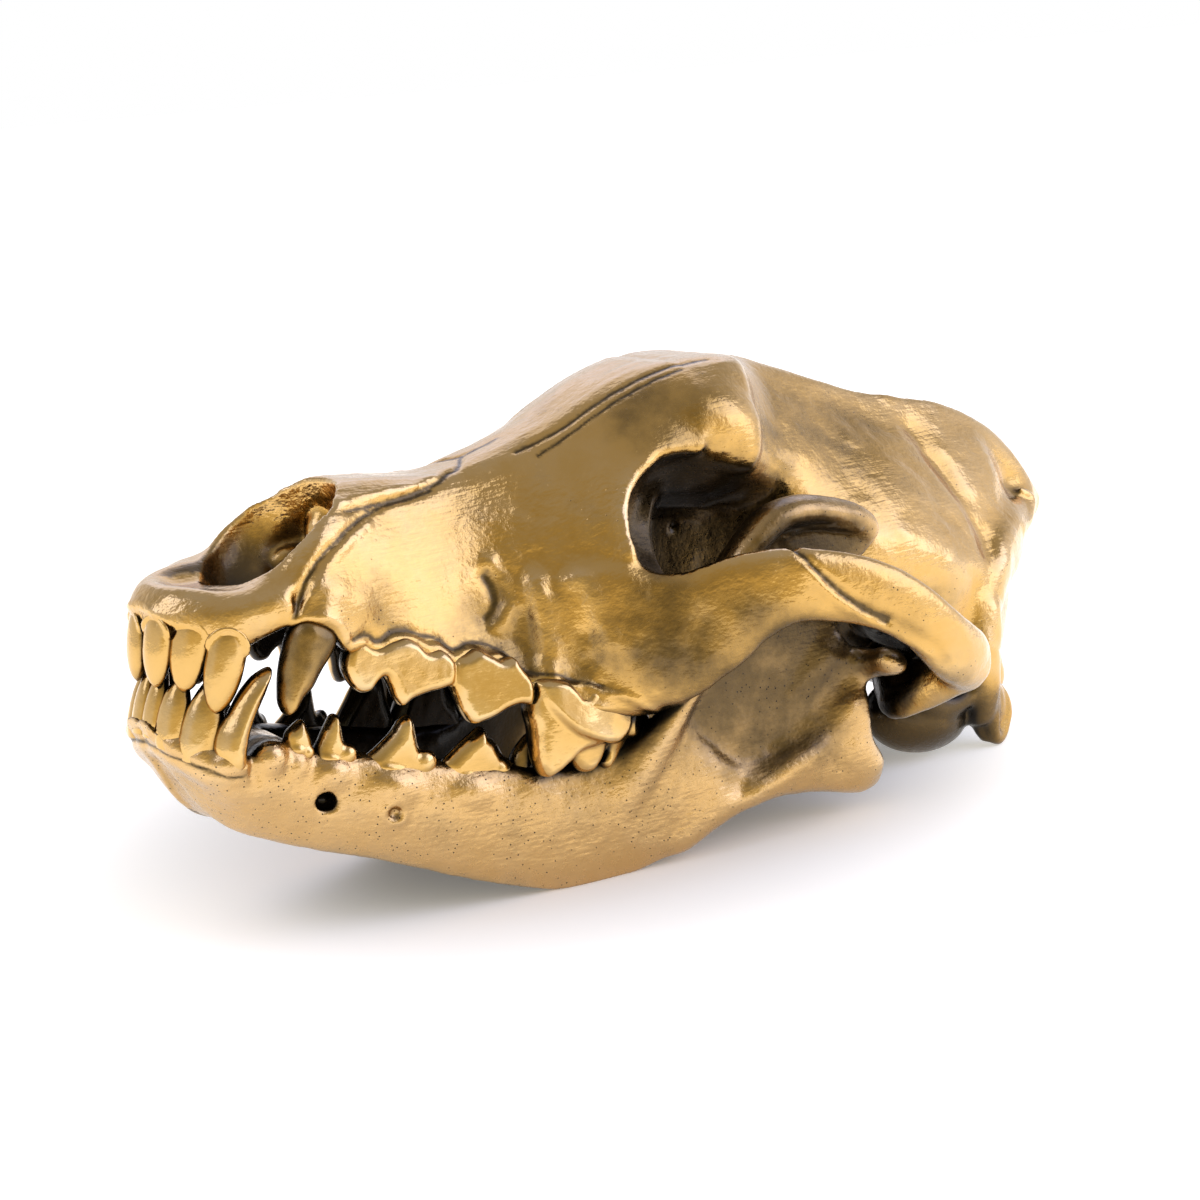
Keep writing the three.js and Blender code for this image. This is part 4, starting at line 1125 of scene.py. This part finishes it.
def tooth_row(name, places, crown):
    """One row of front teeth, both sides, as a plain mesh."""
    both = [(p, side) for p in places for side in (1, -1)]
    mesh = bpy.data.meshes.new(name + "_places")
    mesh.from_pydata([(p[0], side * p[1], p[2]) for p, side in both], [], [])
    turn = mesh.attributes.new("turn", "FLOAT_VECTOR", "POINT")
    scale = mesh.attributes.new("size", "FLOAT_VECTOR", "POINT")
    turns = [[math.radians(angle) for angle in (p[5], -p[4], -side * p[3])] for p, side in both]
    sizes = [(p[7], p[6], p[8]) for p, _ in both]
    turn.data.foreach_set("vector", np.array(turns, np.float32).ravel())
    scale.data.foreach_set("vector", np.array(sizes, np.float32).ravel())
    holder = bpy.data.objects.new(name + "_places", mesh)
    bpy.context.scene.collection.objects.link(holder)
    rows = holder.modifiers.new("row", "NODES")
    rows.node_group = ROW_TREE
    rows[ROW_SOCKETS["Crown"]] = crown
    rows[ROW_SOCKETS["Size"]] = 1.0
    evaluated = holder.evaluated_get(bpy.context.evaluated_depsgraph_get())
    grown = bpy.data.meshes.new_from_object(evaluated)
    points = np.empty(len(grown.vertices) * 3, np.float32)
    grown.vertices.foreach_get("co", points)
    corners = np.empty(len(grown.loops), np.int32)
    grown.loops.foreach_get("vertex_index", corners)
    holder.modifiers.remove(rows)
    bpy.data.objects.remove(holder)
    return fill_mesh(name, points.reshape(-1, 3).astype(float), corners.reshape(-1, 4))


upper_front = tooth_row("upper_front_teeth", UPPER_FRONT, upper_crown)
lower_front = tooth_row("lower_front_teeth", LOWER_FRONT, lower_crown)
for crown in (upper_crown, lower_crown):
    bpy.data.objects.remove(crown)
print("front teeth:", 2 * len(UPPER_FRONT), "above and", 2 * len(LOWER_FRONT), "below")

# %% [markdown]
# ## Where the patina and the painted shade stay
#
# The casting was darkened all over and then rubbed back. The cloth reaches the high places and
# misses the hollows, so patina stays there; the same darkening also paints the shade that falls
# in hollows, creases and the mouth, and the pale tone on the high places is partly painted
# highlight. How dark a point is depends on how shut-in it is. That is measured once,
# here: the whole skull is turned into a grid of full and empty cells, the grid is blurred, and
# each point looks a little way out along its normal. The more brass it finds there, the more it
# is shut in. A wide blur finds the mouth and the eye sockets, a narrow one the creases round the
# teeth. The pressed lines are finer than the grid, so they are marked by their own paths.

# %% How shut-in each point is
GRID_MM = 1.0
MARGIN = 26  # empty cells kept round the skull, more than the wide blur reaches
NEAR_BLUR, WIDE_BLUR = 3, 10
NEAR_OUT_MM, WIDE_OUT_MM = 3.2, 11


def mesh_arrays(piece):
    """Points in mm, normals and triangles of a finished piece."""
    mesh = piece.data
    points = np.empty(len(mesh.vertices) * 3, np.float32)
    mesh.vertices.foreach_get("co", points)
    normals = np.empty(len(mesh.vertices) * 3, np.float32)
    mesh.vertex_normals.foreach_get("vector", normals)
    mesh.calc_loop_triangles()
    corners = np.empty(len(mesh.loop_triangles) * 3, np.int32)
    mesh.loop_triangles.foreach_get("vertices", corners)
    return points.reshape(-1, 3) * 1000, normals.reshape(-1, 3), corners.reshape(-1, 3)


def full_cells(pieces):
    corner = np.floor(np.array(CAD_LOW) * 1000 / GRID_MM).astype(int) - MARGIN
    size = np.ceil(np.array(CAD_HIGH) * 1000 / GRID_MM).astype(int) + MARGIN - corner
    full = np.zeros(size, np.float32)
    for piece in pieces:
        points, _, corners = mesh_arrays(piece)
        grid = openvdb.FloatGrid.createLevelSetFromPolygons(
            points, triangles=corners.astype(np.uint32), halfWidth=2.0,
            transform=openvdb.createLinearTransform(voxelSize=GRID_MM))
        low, high = (np.array(c) for c in grid.evalActiveVoxelBoundingBox())
        gap = np.empty(high - low + 1, np.float32)
        grid.copyToArray(gap, ijk=tuple(int(v) for v in low))
        where = tuple(slice(l - c, h - c + 1) for l, h, c in zip(low, high, corner))
        full[where] = np.maximum(full[where], gap < 0)
    return full, corner


def blurred(grid, reach):
    """The mean over a box, taken twice so that near cells count most."""
    for _ in range(2):
        for axis in range(3):
            pad = [(reach + 1, reach) if k == axis else (0, 0) for k in range(3)]
            run = np.cumsum(np.pad(grid, pad), axis=axis, dtype=np.float32)
            ahead = np.take(run, np.arange(2 * reach + 1, run.shape[axis]), axis=axis)
            behind = np.take(run, np.arange(0, run.shape[axis] - 2 * reach - 1), axis=axis)
            grid = (ahead - behind) / (2 * reach + 1)
    return grid


def look_up(grid, corner, points):
    """The grid's value at points in mm, blended between its cells."""
    at = np.clip(points / GRID_MM - corner, 0, np.array(grid.shape) - 1.001)
    cell = at.astype(int)
    part = at - cell
    total = np.zeros(len(points))
    for step in np.ndindex(2, 2, 2):
        i, j, k = (cell + step).T
        total += np.prod(np.where(step, part, 1 - part), axis=1) * grid[i, j, k]
    return total


PIECES = (cranium, jaw, upper_teeth, lower_teeth, upper_front, lower_front)
FULL, CORNER = full_cells(PIECES)
NEAR, WIDE = blurred(FULL, NEAR_BLUR), blurred(FULL, WIDE_BLUR)
print("brass fills", int(FULL.sum()), "cells of", GRID_MM, "mm")


# %% Patina and painted shade in the hollows, paler high places


def to_skull(points):
    """Points in mm where the skull rests, moved back to skull axes."""
    c, s = math.cos(REST_PITCH), math.sin(REST_PITCH)
    x, y, z = (points - REST_SHIFT_MM).T
    return np.stack([c * x - s * z, y, s * x + c * z], 1)


LINE_SHARE = 0.55  # patina fills this share of a line's width
LINE_DEEP_MM = 2.6  # and reaches no further than this below or above it


def in_groove(points, normals, grooves):
    """One along the middle of each thin pressed line, fading to nothing beside it."""
    side = np.column_stack([points[:, 0], np.abs(points[:, 1]), points[:, 2]])
    one = np.ones(len(points))
    facing = normals * np.column_stack([one, np.sign(points[:, 1]), one])
    best = np.zeros(len(points))
    for line in grooves:
        low, high = line[:, :3].min(0) - 3, line[:, :3].max(0) + 3
        close = np.nonzero(((side > low) & (side < high)).all(1))[0]
        for a, b in zip(line[:-1], line[1:]):
            run = b[:3] - a[:3]
            away = side[close] - a[:3]
            away -= np.clip(away @ run / (run @ run), 0, 1)[:, None] * run
            deep = (away * facing[close]).sum(1)
            beside = np.sqrt(np.maximum((away ** 2).sum(1) - deep ** 2, 0)) / (LINE_SHARE * a[3])
            beside = beside + np.maximum(np.abs(deep) - LINE_DEEP_MM, 0)
            best[close] = np.maximum(best[close], np.exp(-beside ** 2))
    return best


# Patches of patina and painted shade: [centre, half sizes, how much darker]; a
# negative value paints light instead, and pales the point.
PATINA_SHADE_AND_LIGHT = {
    "cranium_bone": [
        [(214, 22, 4), (30, 26, 13), 0.7], [(115, 48, 18), (21, 18, 15), 0.5], [(102, 40, 6),
        (18, 14, 8), 0.2], [(176, 0, 10), (60, 22, 10), 0.5], [(130, 24, 39), (22, 14, 13), 0.4],
        [(150, 63, 29), (24, 14, 13), 0.24], [(131, 31, 63), (7, 7, 8), 0.26],
        [(175, 44, 15), (9, 12, 10), 0.9], [(187, 60, 12), (7, 9, 9), -0.5], [(34, 0, 22),
        (17, 14, 14), -0.75], [(40, 26, 12), (12, 10, 8), 0.2], [(72, 24, 8), (11, 9, 10), 0.12],
        [(110, 27, 66), (15, 14, 13), 0.38], [(168, 16, 72), (30, 16, 14), 0.26]],
    "jaw_bone": [[(80, 20, -34), (100, 40, 30), 0.13], [(146, 44, 12), (24, 20, 28), 0.5],
                 [(146, 44, 50), (26, 10, 12), 0.5]],
    "upper_teeth": [[(27, 24, -4), (7, 8, 13), 0.6]],
    "upper_front_teeth": [[(6, 10, -8), (18, 20, 16), 0.2]]}
# Painted shade on faces that point down, by how much they point down.
UNDERSIDE_SHADE = {"cranium_bone": 0.3}
# Box of the mouth, where inward faces get painted shade.
MOUTH_SHADE_BOX = ((62, 0, -14), (64, 46, 34))
GROOVES = {"cranium_bone": cranium_clay.grooves, "jaw_bone": jaw_clay.grooves}


def mark_patina_and_shade(piece):
    """Stores on each point: x brown in hollows, as patina and painted shade, y painted shade in
    creases, z paler high places, as wear and painted highlight.
    """
    points, normals, _ = mesh_arrays(piece)
    near = look_up(NEAR, CORNER, points + NEAR_OUT_MM * normals)
    wide = look_up(WIDE, CORNER, points + WIDE_OUT_MM * normals)
    # Brown in hollows is patina and painted shade; the pale share on the high places is wear and
    # painted highlight.
    brown = (wide - 0.12) / 0.36
    polished_and_lit = np.clip((0.16 - near) / 0.1, 0, 1)
    # Patches of patina and painted shade, and of painted light where the value is negative.
    for centre, half, darker in PATINA_SHADE_AND_LIGHT.get(piece.name, ()):
        change = darker * patch(to_skull(points), centre, half)
        brown = brown + change
        near = near + 0.4 * np.minimum(change, 0)
        polished_and_lit = polished_and_lit * np.clip(1 - 4 * change, 0, 1)
    # Painted shade on the inner faces of the mouth.
    inward = np.clip(-3 * normals[:, 1] * np.sign(points[:, 1]), 0, 1) * (np.abs(points[:, 1]) > 7)
    brown = brown + 1.2 * inward * patch(to_skull(points), *MOUTH_SHADE_BOX)
    local = to_skull(points)
    line = in_groove(local, to_skull(points + normals) - local, GROOVES.get(piece.name, ()))
    # Painted shade under the skull: faces that point down are darkened.
    underside_shade = UNDERSIDE_SHADE.get(piece.name, 0) * np.clip(-normals[:, 2], 0, 1)
    brown = np.maximum(brown, 0.6 * line) + underside_shade
    # Painted shade in tight creases, plus patina in the pressed lines.
    crease = np.maximum((near - 0.14) / 0.3, 0.4 * line)
    patina_and_shade = np.stack([np.clip(brown, 0, 1), np.clip(crease, 0, 1), polished_and_lit], 1)
    attribute = piece.data.attributes.new("patina_and_shade", "FLOAT_VECTOR", "POINT")
    attribute.data.foreach_set("vector", patina_and_shade.astype(np.float32).ravel())
    print(piece.name, "is shut-in by", np.round(patina_and_shade.mean(0), 2), "on average")


for piece in PIECES:
    mark_patina_and_shade(piece)

# %% [markdown]
# ## Brass
#
# The metal is cast brass, warm golden brown where it is rubbed bright; its palest tone on the high
# places is partly painted highlight. A brown patina fills the hollows, with painted shade added
# there that turns nearly black in creases, and a thin coat of wax lies over everything and adds a
# pale sheen. The surface was cast against fine sand and then filed and rubbed, which leaves pores,
# short file marks and a soft unevenness, so a highlight breaks up at its edge instead of ending in
# a clean line.
# The jaw was rubbed less than the skull, so it is duller and more porous.

# %% Colour and pattern size
def linear(hex_colour):
    """An sRGB hex colour as the linear red, green, blue that shaders take."""
    parts = [int(hex_colour[i:i + 2], 16) / 255 for i in (1, 3, 5)]
    red, green, blue = (
        p / 12.92 if p <= 0.04045 else ((p + 0.055) / 1.055) ** 2.4 for p in parts)
    return red, green, blue, 1.0


def per_mm(length_mm):
    """The scale of a pattern in object metres whose cells are to be this long."""
    return 1000.0 / length_mm


SMOOTH, COLOUR = {"interpolation_type": "SMOOTHSTEP"}, {"data_type": "RGBA"}
PLUS, TIMES, TIMES_PLUS, GREATER = (
    {"operation": name} for name in ("ADD", "MULTIPLY", "MULTIPLY_ADD", "MAXIMUM"))
print("the bright tone of the brass is", [round(c, 3) for c in linear("#C99E54")[:3]])


# %% Cast brass with patina and painted shade
GRAIN_MM = 1.5
FILE_MARK_MM, FILE_MARK_LONG_MM = 0.9, 14
PORE_SPACING_MM = 1.4
CLOUD_MM = 11.0


def cast_brass(name, worn_and_highlight, bright, patina, dark, polish, pore_share, pore_mm):
    """Cast brass: patina, painted shade and painted highlight by how shut-in a point is, then
    pores, gloss and fine relief.
    """
    material = bpy.data.materials.new(name)
    material.use_nodes = True
    tree = material.node_tree
    shader = tree.nodes["Principled BSDF"]
    place = add_node(tree, "ShaderNodeTexCoord").outputs["Object"]
    stored = add_node(tree, "ShaderNodeAttribute", (), {"attribute_name": "patina_and_shade"})
    patina_and_shade = add_node(tree, "ShaderNodeSeparateXYZ", [(0, stored.outputs["Vector"])]).outputs
    clouds = add_node(tree, "ShaderNodeTexNoise", Vector=place, Scale=per_mm(CLOUD_MM),
                      Detail=5.0, Roughness=0.62).outputs["Fac"]
    grain = add_node(tree, "ShaderNodeTexNoise", Vector=place, Scale=per_mm(GRAIN_MM),
                     Detail=3.0, Roughness=0.55).outputs["Fac"]

    # Tones: pale on the high places, as wear and painted highlight; brown in hollows, as patina and
    # painted shade; nearly black in deep hollows and creases, as painted shade.
    blotch = add_node(tree, "ShaderNodeMapRange", Value=clouds, From_Min=0.34, From_Max=0.66,
                      To_Min=-0.06, To_Max=0.17).outputs["Result"]
    broad = add_node(tree, "ShaderNodeMath", [(0, patina_and_shade["X"]), (1, blotch)], PLUS)
    brown = add_node(tree, "ShaderNodeMapRange", (), SMOOTH, Value=broad.outputs["Value"],
                     From_Min=0.04, From_Max=0.62).outputs["Result"]
    deep = add_node(tree, "ShaderNodeMapRange", (), SMOOTH, Value=patina_and_shade["X"],
                    From_Min=0.4, From_Max=0.95).outputs["Result"]
    crease = add_node(tree, "ShaderNodeMapRange", (), SMOOTH, Value=patina_and_shade["Y"],
                      From_Min=0.15, From_Max=0.95).outputs["Result"]
    # Painted shade where a hollow is deep or a crease is tight.
    painted_dark_shade = add_node(tree, "ShaderNodeMath", [(0, deep), (1, crease)], GREATER)
    patchy = add_node(tree, "ShaderNodeMapRange", Value=clouds, From_Min=0.36, From_Max=0.62,
                      To_Min=0.2).outputs["Result"]
    # Wear and painted highlight: the high places take the paler tone.
    paling = add_node(tree, "ShaderNodeMath", [(0, patina_and_shade["Z"]), (1, patchy)], TIMES)
    high = add_node(tree, "ShaderNodeMix", [(6, linear(bright)), (7, linear(worn_and_highlight))], COLOUR,
                    Factor=paling.outputs["Value"])
    # Patina and painted shade: the hollows turn brown.
    rubbed = add_node(tree, "ShaderNodeMix", [(6, high.outputs[2]), (7, linear(patina))],
                      COLOUR, Factor=brown)
    # Painted shade: deep hollows and creases turn nearly black.
    painted_shaded = add_node(tree, "ShaderNodeMix", [(6, rubbed.outputs[2]), (7, linear(dark))],
                       COLOUR, Factor=painted_dark_shade.outputs["Value"])

    # Pores: dark pin holes from the sand, in drifts.
    pores = add_node(tree, "ShaderNodeTexVoronoi", Vector=place, Scale=per_mm(PORE_SPACING_MM))
    pore = add_node(tree, "ShaderNodeMapRange", (), SMOOTH, Value=pores.outputs["Distance"],
                    From_Min=0.07, From_Max=0.15, To_Min=1.0, To_Max=0.0).outputs["Result"]
    drift = add_node(tree, "ShaderNodeMapRange", Value=clouds, From_Min=0.62 - pore_share,
                     From_Max=0.7 - pore_share).outputs["Result"]
    pitted = add_node(tree, "ShaderNodeMath", [(0, pore), (1, drift)], TIMES).outputs["Value"]
    spotted = add_node(tree, "ShaderNodeMix", [(6, painted_shaded.outputs[2]), (7, linear(dark))],
                       COLOUR, Factor=pitted)
    tree.links.new(spotted.outputs[2], shader.inputs["Base Color"])

    # Gloss: patina is duller than rubbed metal, and the grain of the sand varies both.
    dull = add_node(tree, "ShaderNodeMapRange", Value=grain, From_Min=0.3, From_Max=0.7,
                    To_Min=polish - 0.06, To_Max=polish + 0.1).outputs["Result"]
    duller = add_node(tree, "ShaderNodeMath", [(0, brown), (1, 0.16), (2, dull)], TIMES_PLUS)
    tree.links.new(duller.outputs["Value"], shader.inputs["Roughness"])

    # Relief too fine for the mesh: file marks and grain, less the pores.
    along = (per_mm(FILE_MARK_LONG_MM), per_mm(FILE_MARK_MM), per_mm(FILE_MARK_MM))
    filed = add_node(tree, "ShaderNodeMapping", Vector=place, Rotation=(0.3, -0.5, 0.4),
                     Scale=along)
    marks = add_node(tree, "ShaderNodeTexNoise", Vector=filed.outputs["Vector"], Scale=1.0,
                     Detail=1.0).outputs["Fac"]
    height = add_node(tree, "ShaderNodeMath", [(0, marks), (1, 0.6), (2, grain)], TIMES_PLUS)
    pocked = add_node(tree, "ShaderNodeMath", [
        (0, pitted), (1, -1.6), (2, height.outputs["Value"])], TIMES_PLUS)
    bump = add_node(tree, "ShaderNodeBump", Height=pocked.outputs["Value"], Strength=1.0,
                    Distance=pore_mm / 1000)
    tree.links.new(bump.outputs["Normal"], shader.inputs["Normal"])

    # Metal keeps the default IOR; the thin coat over it is the wax.
    shader.inputs["Metallic"].default_value = 1.0
    shader.inputs["Coat Weight"].default_value = 0.35
    shader.inputs["Coat Roughness"].default_value = 0.2
    return material


# Each finish: the worn tone, partly painted highlight, the bright tone, the patina tone, partly
# painted shade, and the dark tone of painted shade in creases and of pores; polish, share of
# pores, their depth in mm.
skull_brass = cast_brass(
    "cast_brass_rubbed", "#DDBD8A", "#C99E54", "#5E4A28", "#1D160A", 0.15, 0.05, 0.16)
jaw_brass = cast_brass(
    "cast_brass_dull", "#D8BA8E", "#C9A266", "#604C2A", "#1D160A", 0.21, 0.2, 0.2)
tooth_brass = cast_brass(
    "cast_brass_teeth", "#DDBE88", "#CCA35C", "#5E4A28", "#1C1509", 0.13, -0.1, 0.06)
for piece, brass in zip(PIECES, (skull_brass, jaw_brass) + (tooth_brass,) * 4):
    piece.data.materials.append(brass)
print("three brass finishes are on", len(PIECES), "pieces")

# %% [markdown]
# ## Studio
#
# Bright metal shows its room more than itself, so the room is part of the look: a white paper
# floor, pale walls, a greyer ceiling and four area lights. The softbox on the right, with a
# fainter wall round it, gives the pale patches on the muzzle, brow and braincase; one at the back
# and one on the left draw the edges. Brass yellows what it reflects, so the lights are cool, and
# the side behind the camera is dimmer and warm, which keeps the darker faces golden. The floor
# glows as painted light, less under the skull than further out, which paints a soft but clear
# shadow there.

# %% Paper floor
# Centre of the painted shadow: the floor glows least here.
SHADOW_MIDDLE = (-0.02, 0.03, 0)


def glowing_paper():
    """Matt paper with a painted glow that grows away from the skull, so it stays white up to the
    horizon; the dimmer glow near the skull paints its shadow.
    """
    material = bpy.data.materials.new("glowing_paper")
    material.use_nodes = True
    tree = material.node_tree
    shader = tree.nodes["Principled BSDF"]
    shader.inputs["Base Color"].default_value = linear("#FBF7EC")
    shader.inputs["Roughness"].default_value = 0.9
    shader.inputs["Specular IOR Level"].default_value = 0.1
    shader.inputs["Emission Color"].default_value = (1, 0.985, 0.95, 1)
    place = add_node(tree, "ShaderNodeTexCoord").outputs["Object"]
    away = add_node(tree, "ShaderNodeVectorMath", [(0, place), (1, SHADOW_MIDDLE)],
                    {"operation": "DISTANCE"})
    # Painted light: the paper glows, less near the skull, which paints its shadow.
    painted_glow = add_node(tree, "ShaderNodeMapRange", (), SMOOTH, Value=away.outputs["Value"],
                    From_Min=0.05, From_Max=0.19, To_Min=0.1, To_Max=0.86)
    tree.links.new(painted_glow.outputs["Result"], shader.inputs["Emission Strength"])
    return material


FLOOR_HALF = 40.0
floor_mesh = bpy.data.meshes.new("floor")
floor_mesh.from_pydata([(x * FLOOR_HALF, y * FLOOR_HALF, 0)
                        for x, y in ((-1, -1), (1, -1), (1, 1), (-1, 1))], [], [(0, 1, 2, 3)])
floor = bpy.data.objects.new("floor", floor_mesh)
bpy.context.scene.collection.objects.link(floor)
floor_mesh.materials.append(glowing_paper())
print("the floor is", 2 * FLOOR_HALF, "m wide")

# %% Area lights

DAYLIGHT = (0.88, 1.0, 1.66)


def softbox(name, azimuth, elevation, distance, width, height, radiance):
    """A softbox that faces the skull; its radiance sets how bright its reflection is."""
    data = bpy.data.lights.new(name, "AREA")
    data.shape = "RECTANGLE"
    data.size, data.size_y = width, height
    data.energy = radiance * math.pi * width * height
    data.color = DAYLIGHT
    light = bpy.data.objects.new(name, data)
    bpy.context.scene.collection.objects.link(light)
    a, e = math.radians(azimuth), math.radians(elevation)
    away = Vector((math.cos(a) * math.cos(e), math.sin(a) * math.cos(e), math.sin(e)))
    light.location = Vector((0, 0, 0.05)) + away * distance
    light.rotation_euler = (-away).to_track_quat("-Z", "Y").to_euler()
    return light


softbox("right_softbox", -46, 30, 1.3, 1.1, 1.1, 1.2)
softbox("right_wall", -44, 20, 1.5, 2.3, 1.3, 0.3)
softbox("back_softbox", 60, 40, 1.5, 1.3, 0.9, 0.6)
softbox("left_softbox", 175, 42, 1.3, 0.6, 0.6, 1.4)
print("four area lights are set")


# %% Walls of the room, which the brass reflects
DIM_SIDE = Vector((-0.40, -0.90, 0.2)).normalized()


def studio_walls():
    """A world that is pale low down, greyer overhead, and dimmer and warm behind the camera.

    Only reflections see it: the camera itself sees plain white paper.
    """
    world = bpy.data.worlds.new("studio")
    bpy.context.scene.world = world
    world.use_nodes = True
    tree = world.node_tree
    toward = add_node(tree, "ShaderNodeTexCoord").outputs["Generated"]
    up = add_node(tree, "ShaderNodeSeparateXYZ", [(0, toward)]).outputs["Z"]
    high = add_node(tree, "ShaderNodeMapRange", (), SMOOTH, Value=up, From_Min=0.1,
                    From_Max=0.7, To_Min=1.0, To_Max=0.48).outputs["Result"]
    corner = add_node(tree, "ShaderNodeVectorMath", [(0, toward), (1, DIM_SIDE)],
                      {"operation": "DOT_PRODUCT"}).outputs["Value"]
    dim = add_node(tree, "ShaderNodeMapRange", (), SMOOTH, Value=corner, From_Min=0.55,
                   From_Max=0.95, To_Min=1.05, To_Max=0.94).outputs["Result"]
    light = add_node(tree, "ShaderNodeMath", [(0, high), (1, dim)], TIMES)
    warm = add_node(tree, "ShaderNodeMapRange", (), SMOOTH, Value=corner, From_Min=0.5,
                    From_Max=0.9).outputs["Result"]
    tint = add_node(tree, "ShaderNodeMix", [
        (6, (0.98, 0.98, 1.04, 1)), (7, (1, 0.89, 0.56, 1))], COLOUR, Factor=warm)
    room = tree.nodes["Background"]
    tree.links.new(tint.outputs[2], room.inputs["Color"])
    tree.links.new(light.outputs["Value"], room.inputs["Strength"])
    paper = add_node(tree, "ShaderNodeBackground", Color=(1, 1, 1, 1))
    seen = add_node(tree, "ShaderNodeLightPath").outputs["Is Camera Ray"]
    both = add_node(tree, "ShaderNodeMixShader", [
        (0, seen), (1, room.outputs[0]), (2, paper.outputs[0])])
    tree.links.new(both.outputs[0], tree.nodes["World Output"].inputs["Surface"])


studio_walls()
bpy.context.scene.view_settings.view_transform = "Standard"
print("the room is lit")

# %% Ride, replace and finish
for piece, slot in (
        (cranium, "skull_brass"), (upper_teeth, "skull_brass"), (upper_front, "skull_brass"),
        (jaw, "jaw_brass"), (lower_teeth, "jaw_brass"), (lower_front, "jaw_brass")):
    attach(piece, "root")
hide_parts("cranium")
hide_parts("mandible")
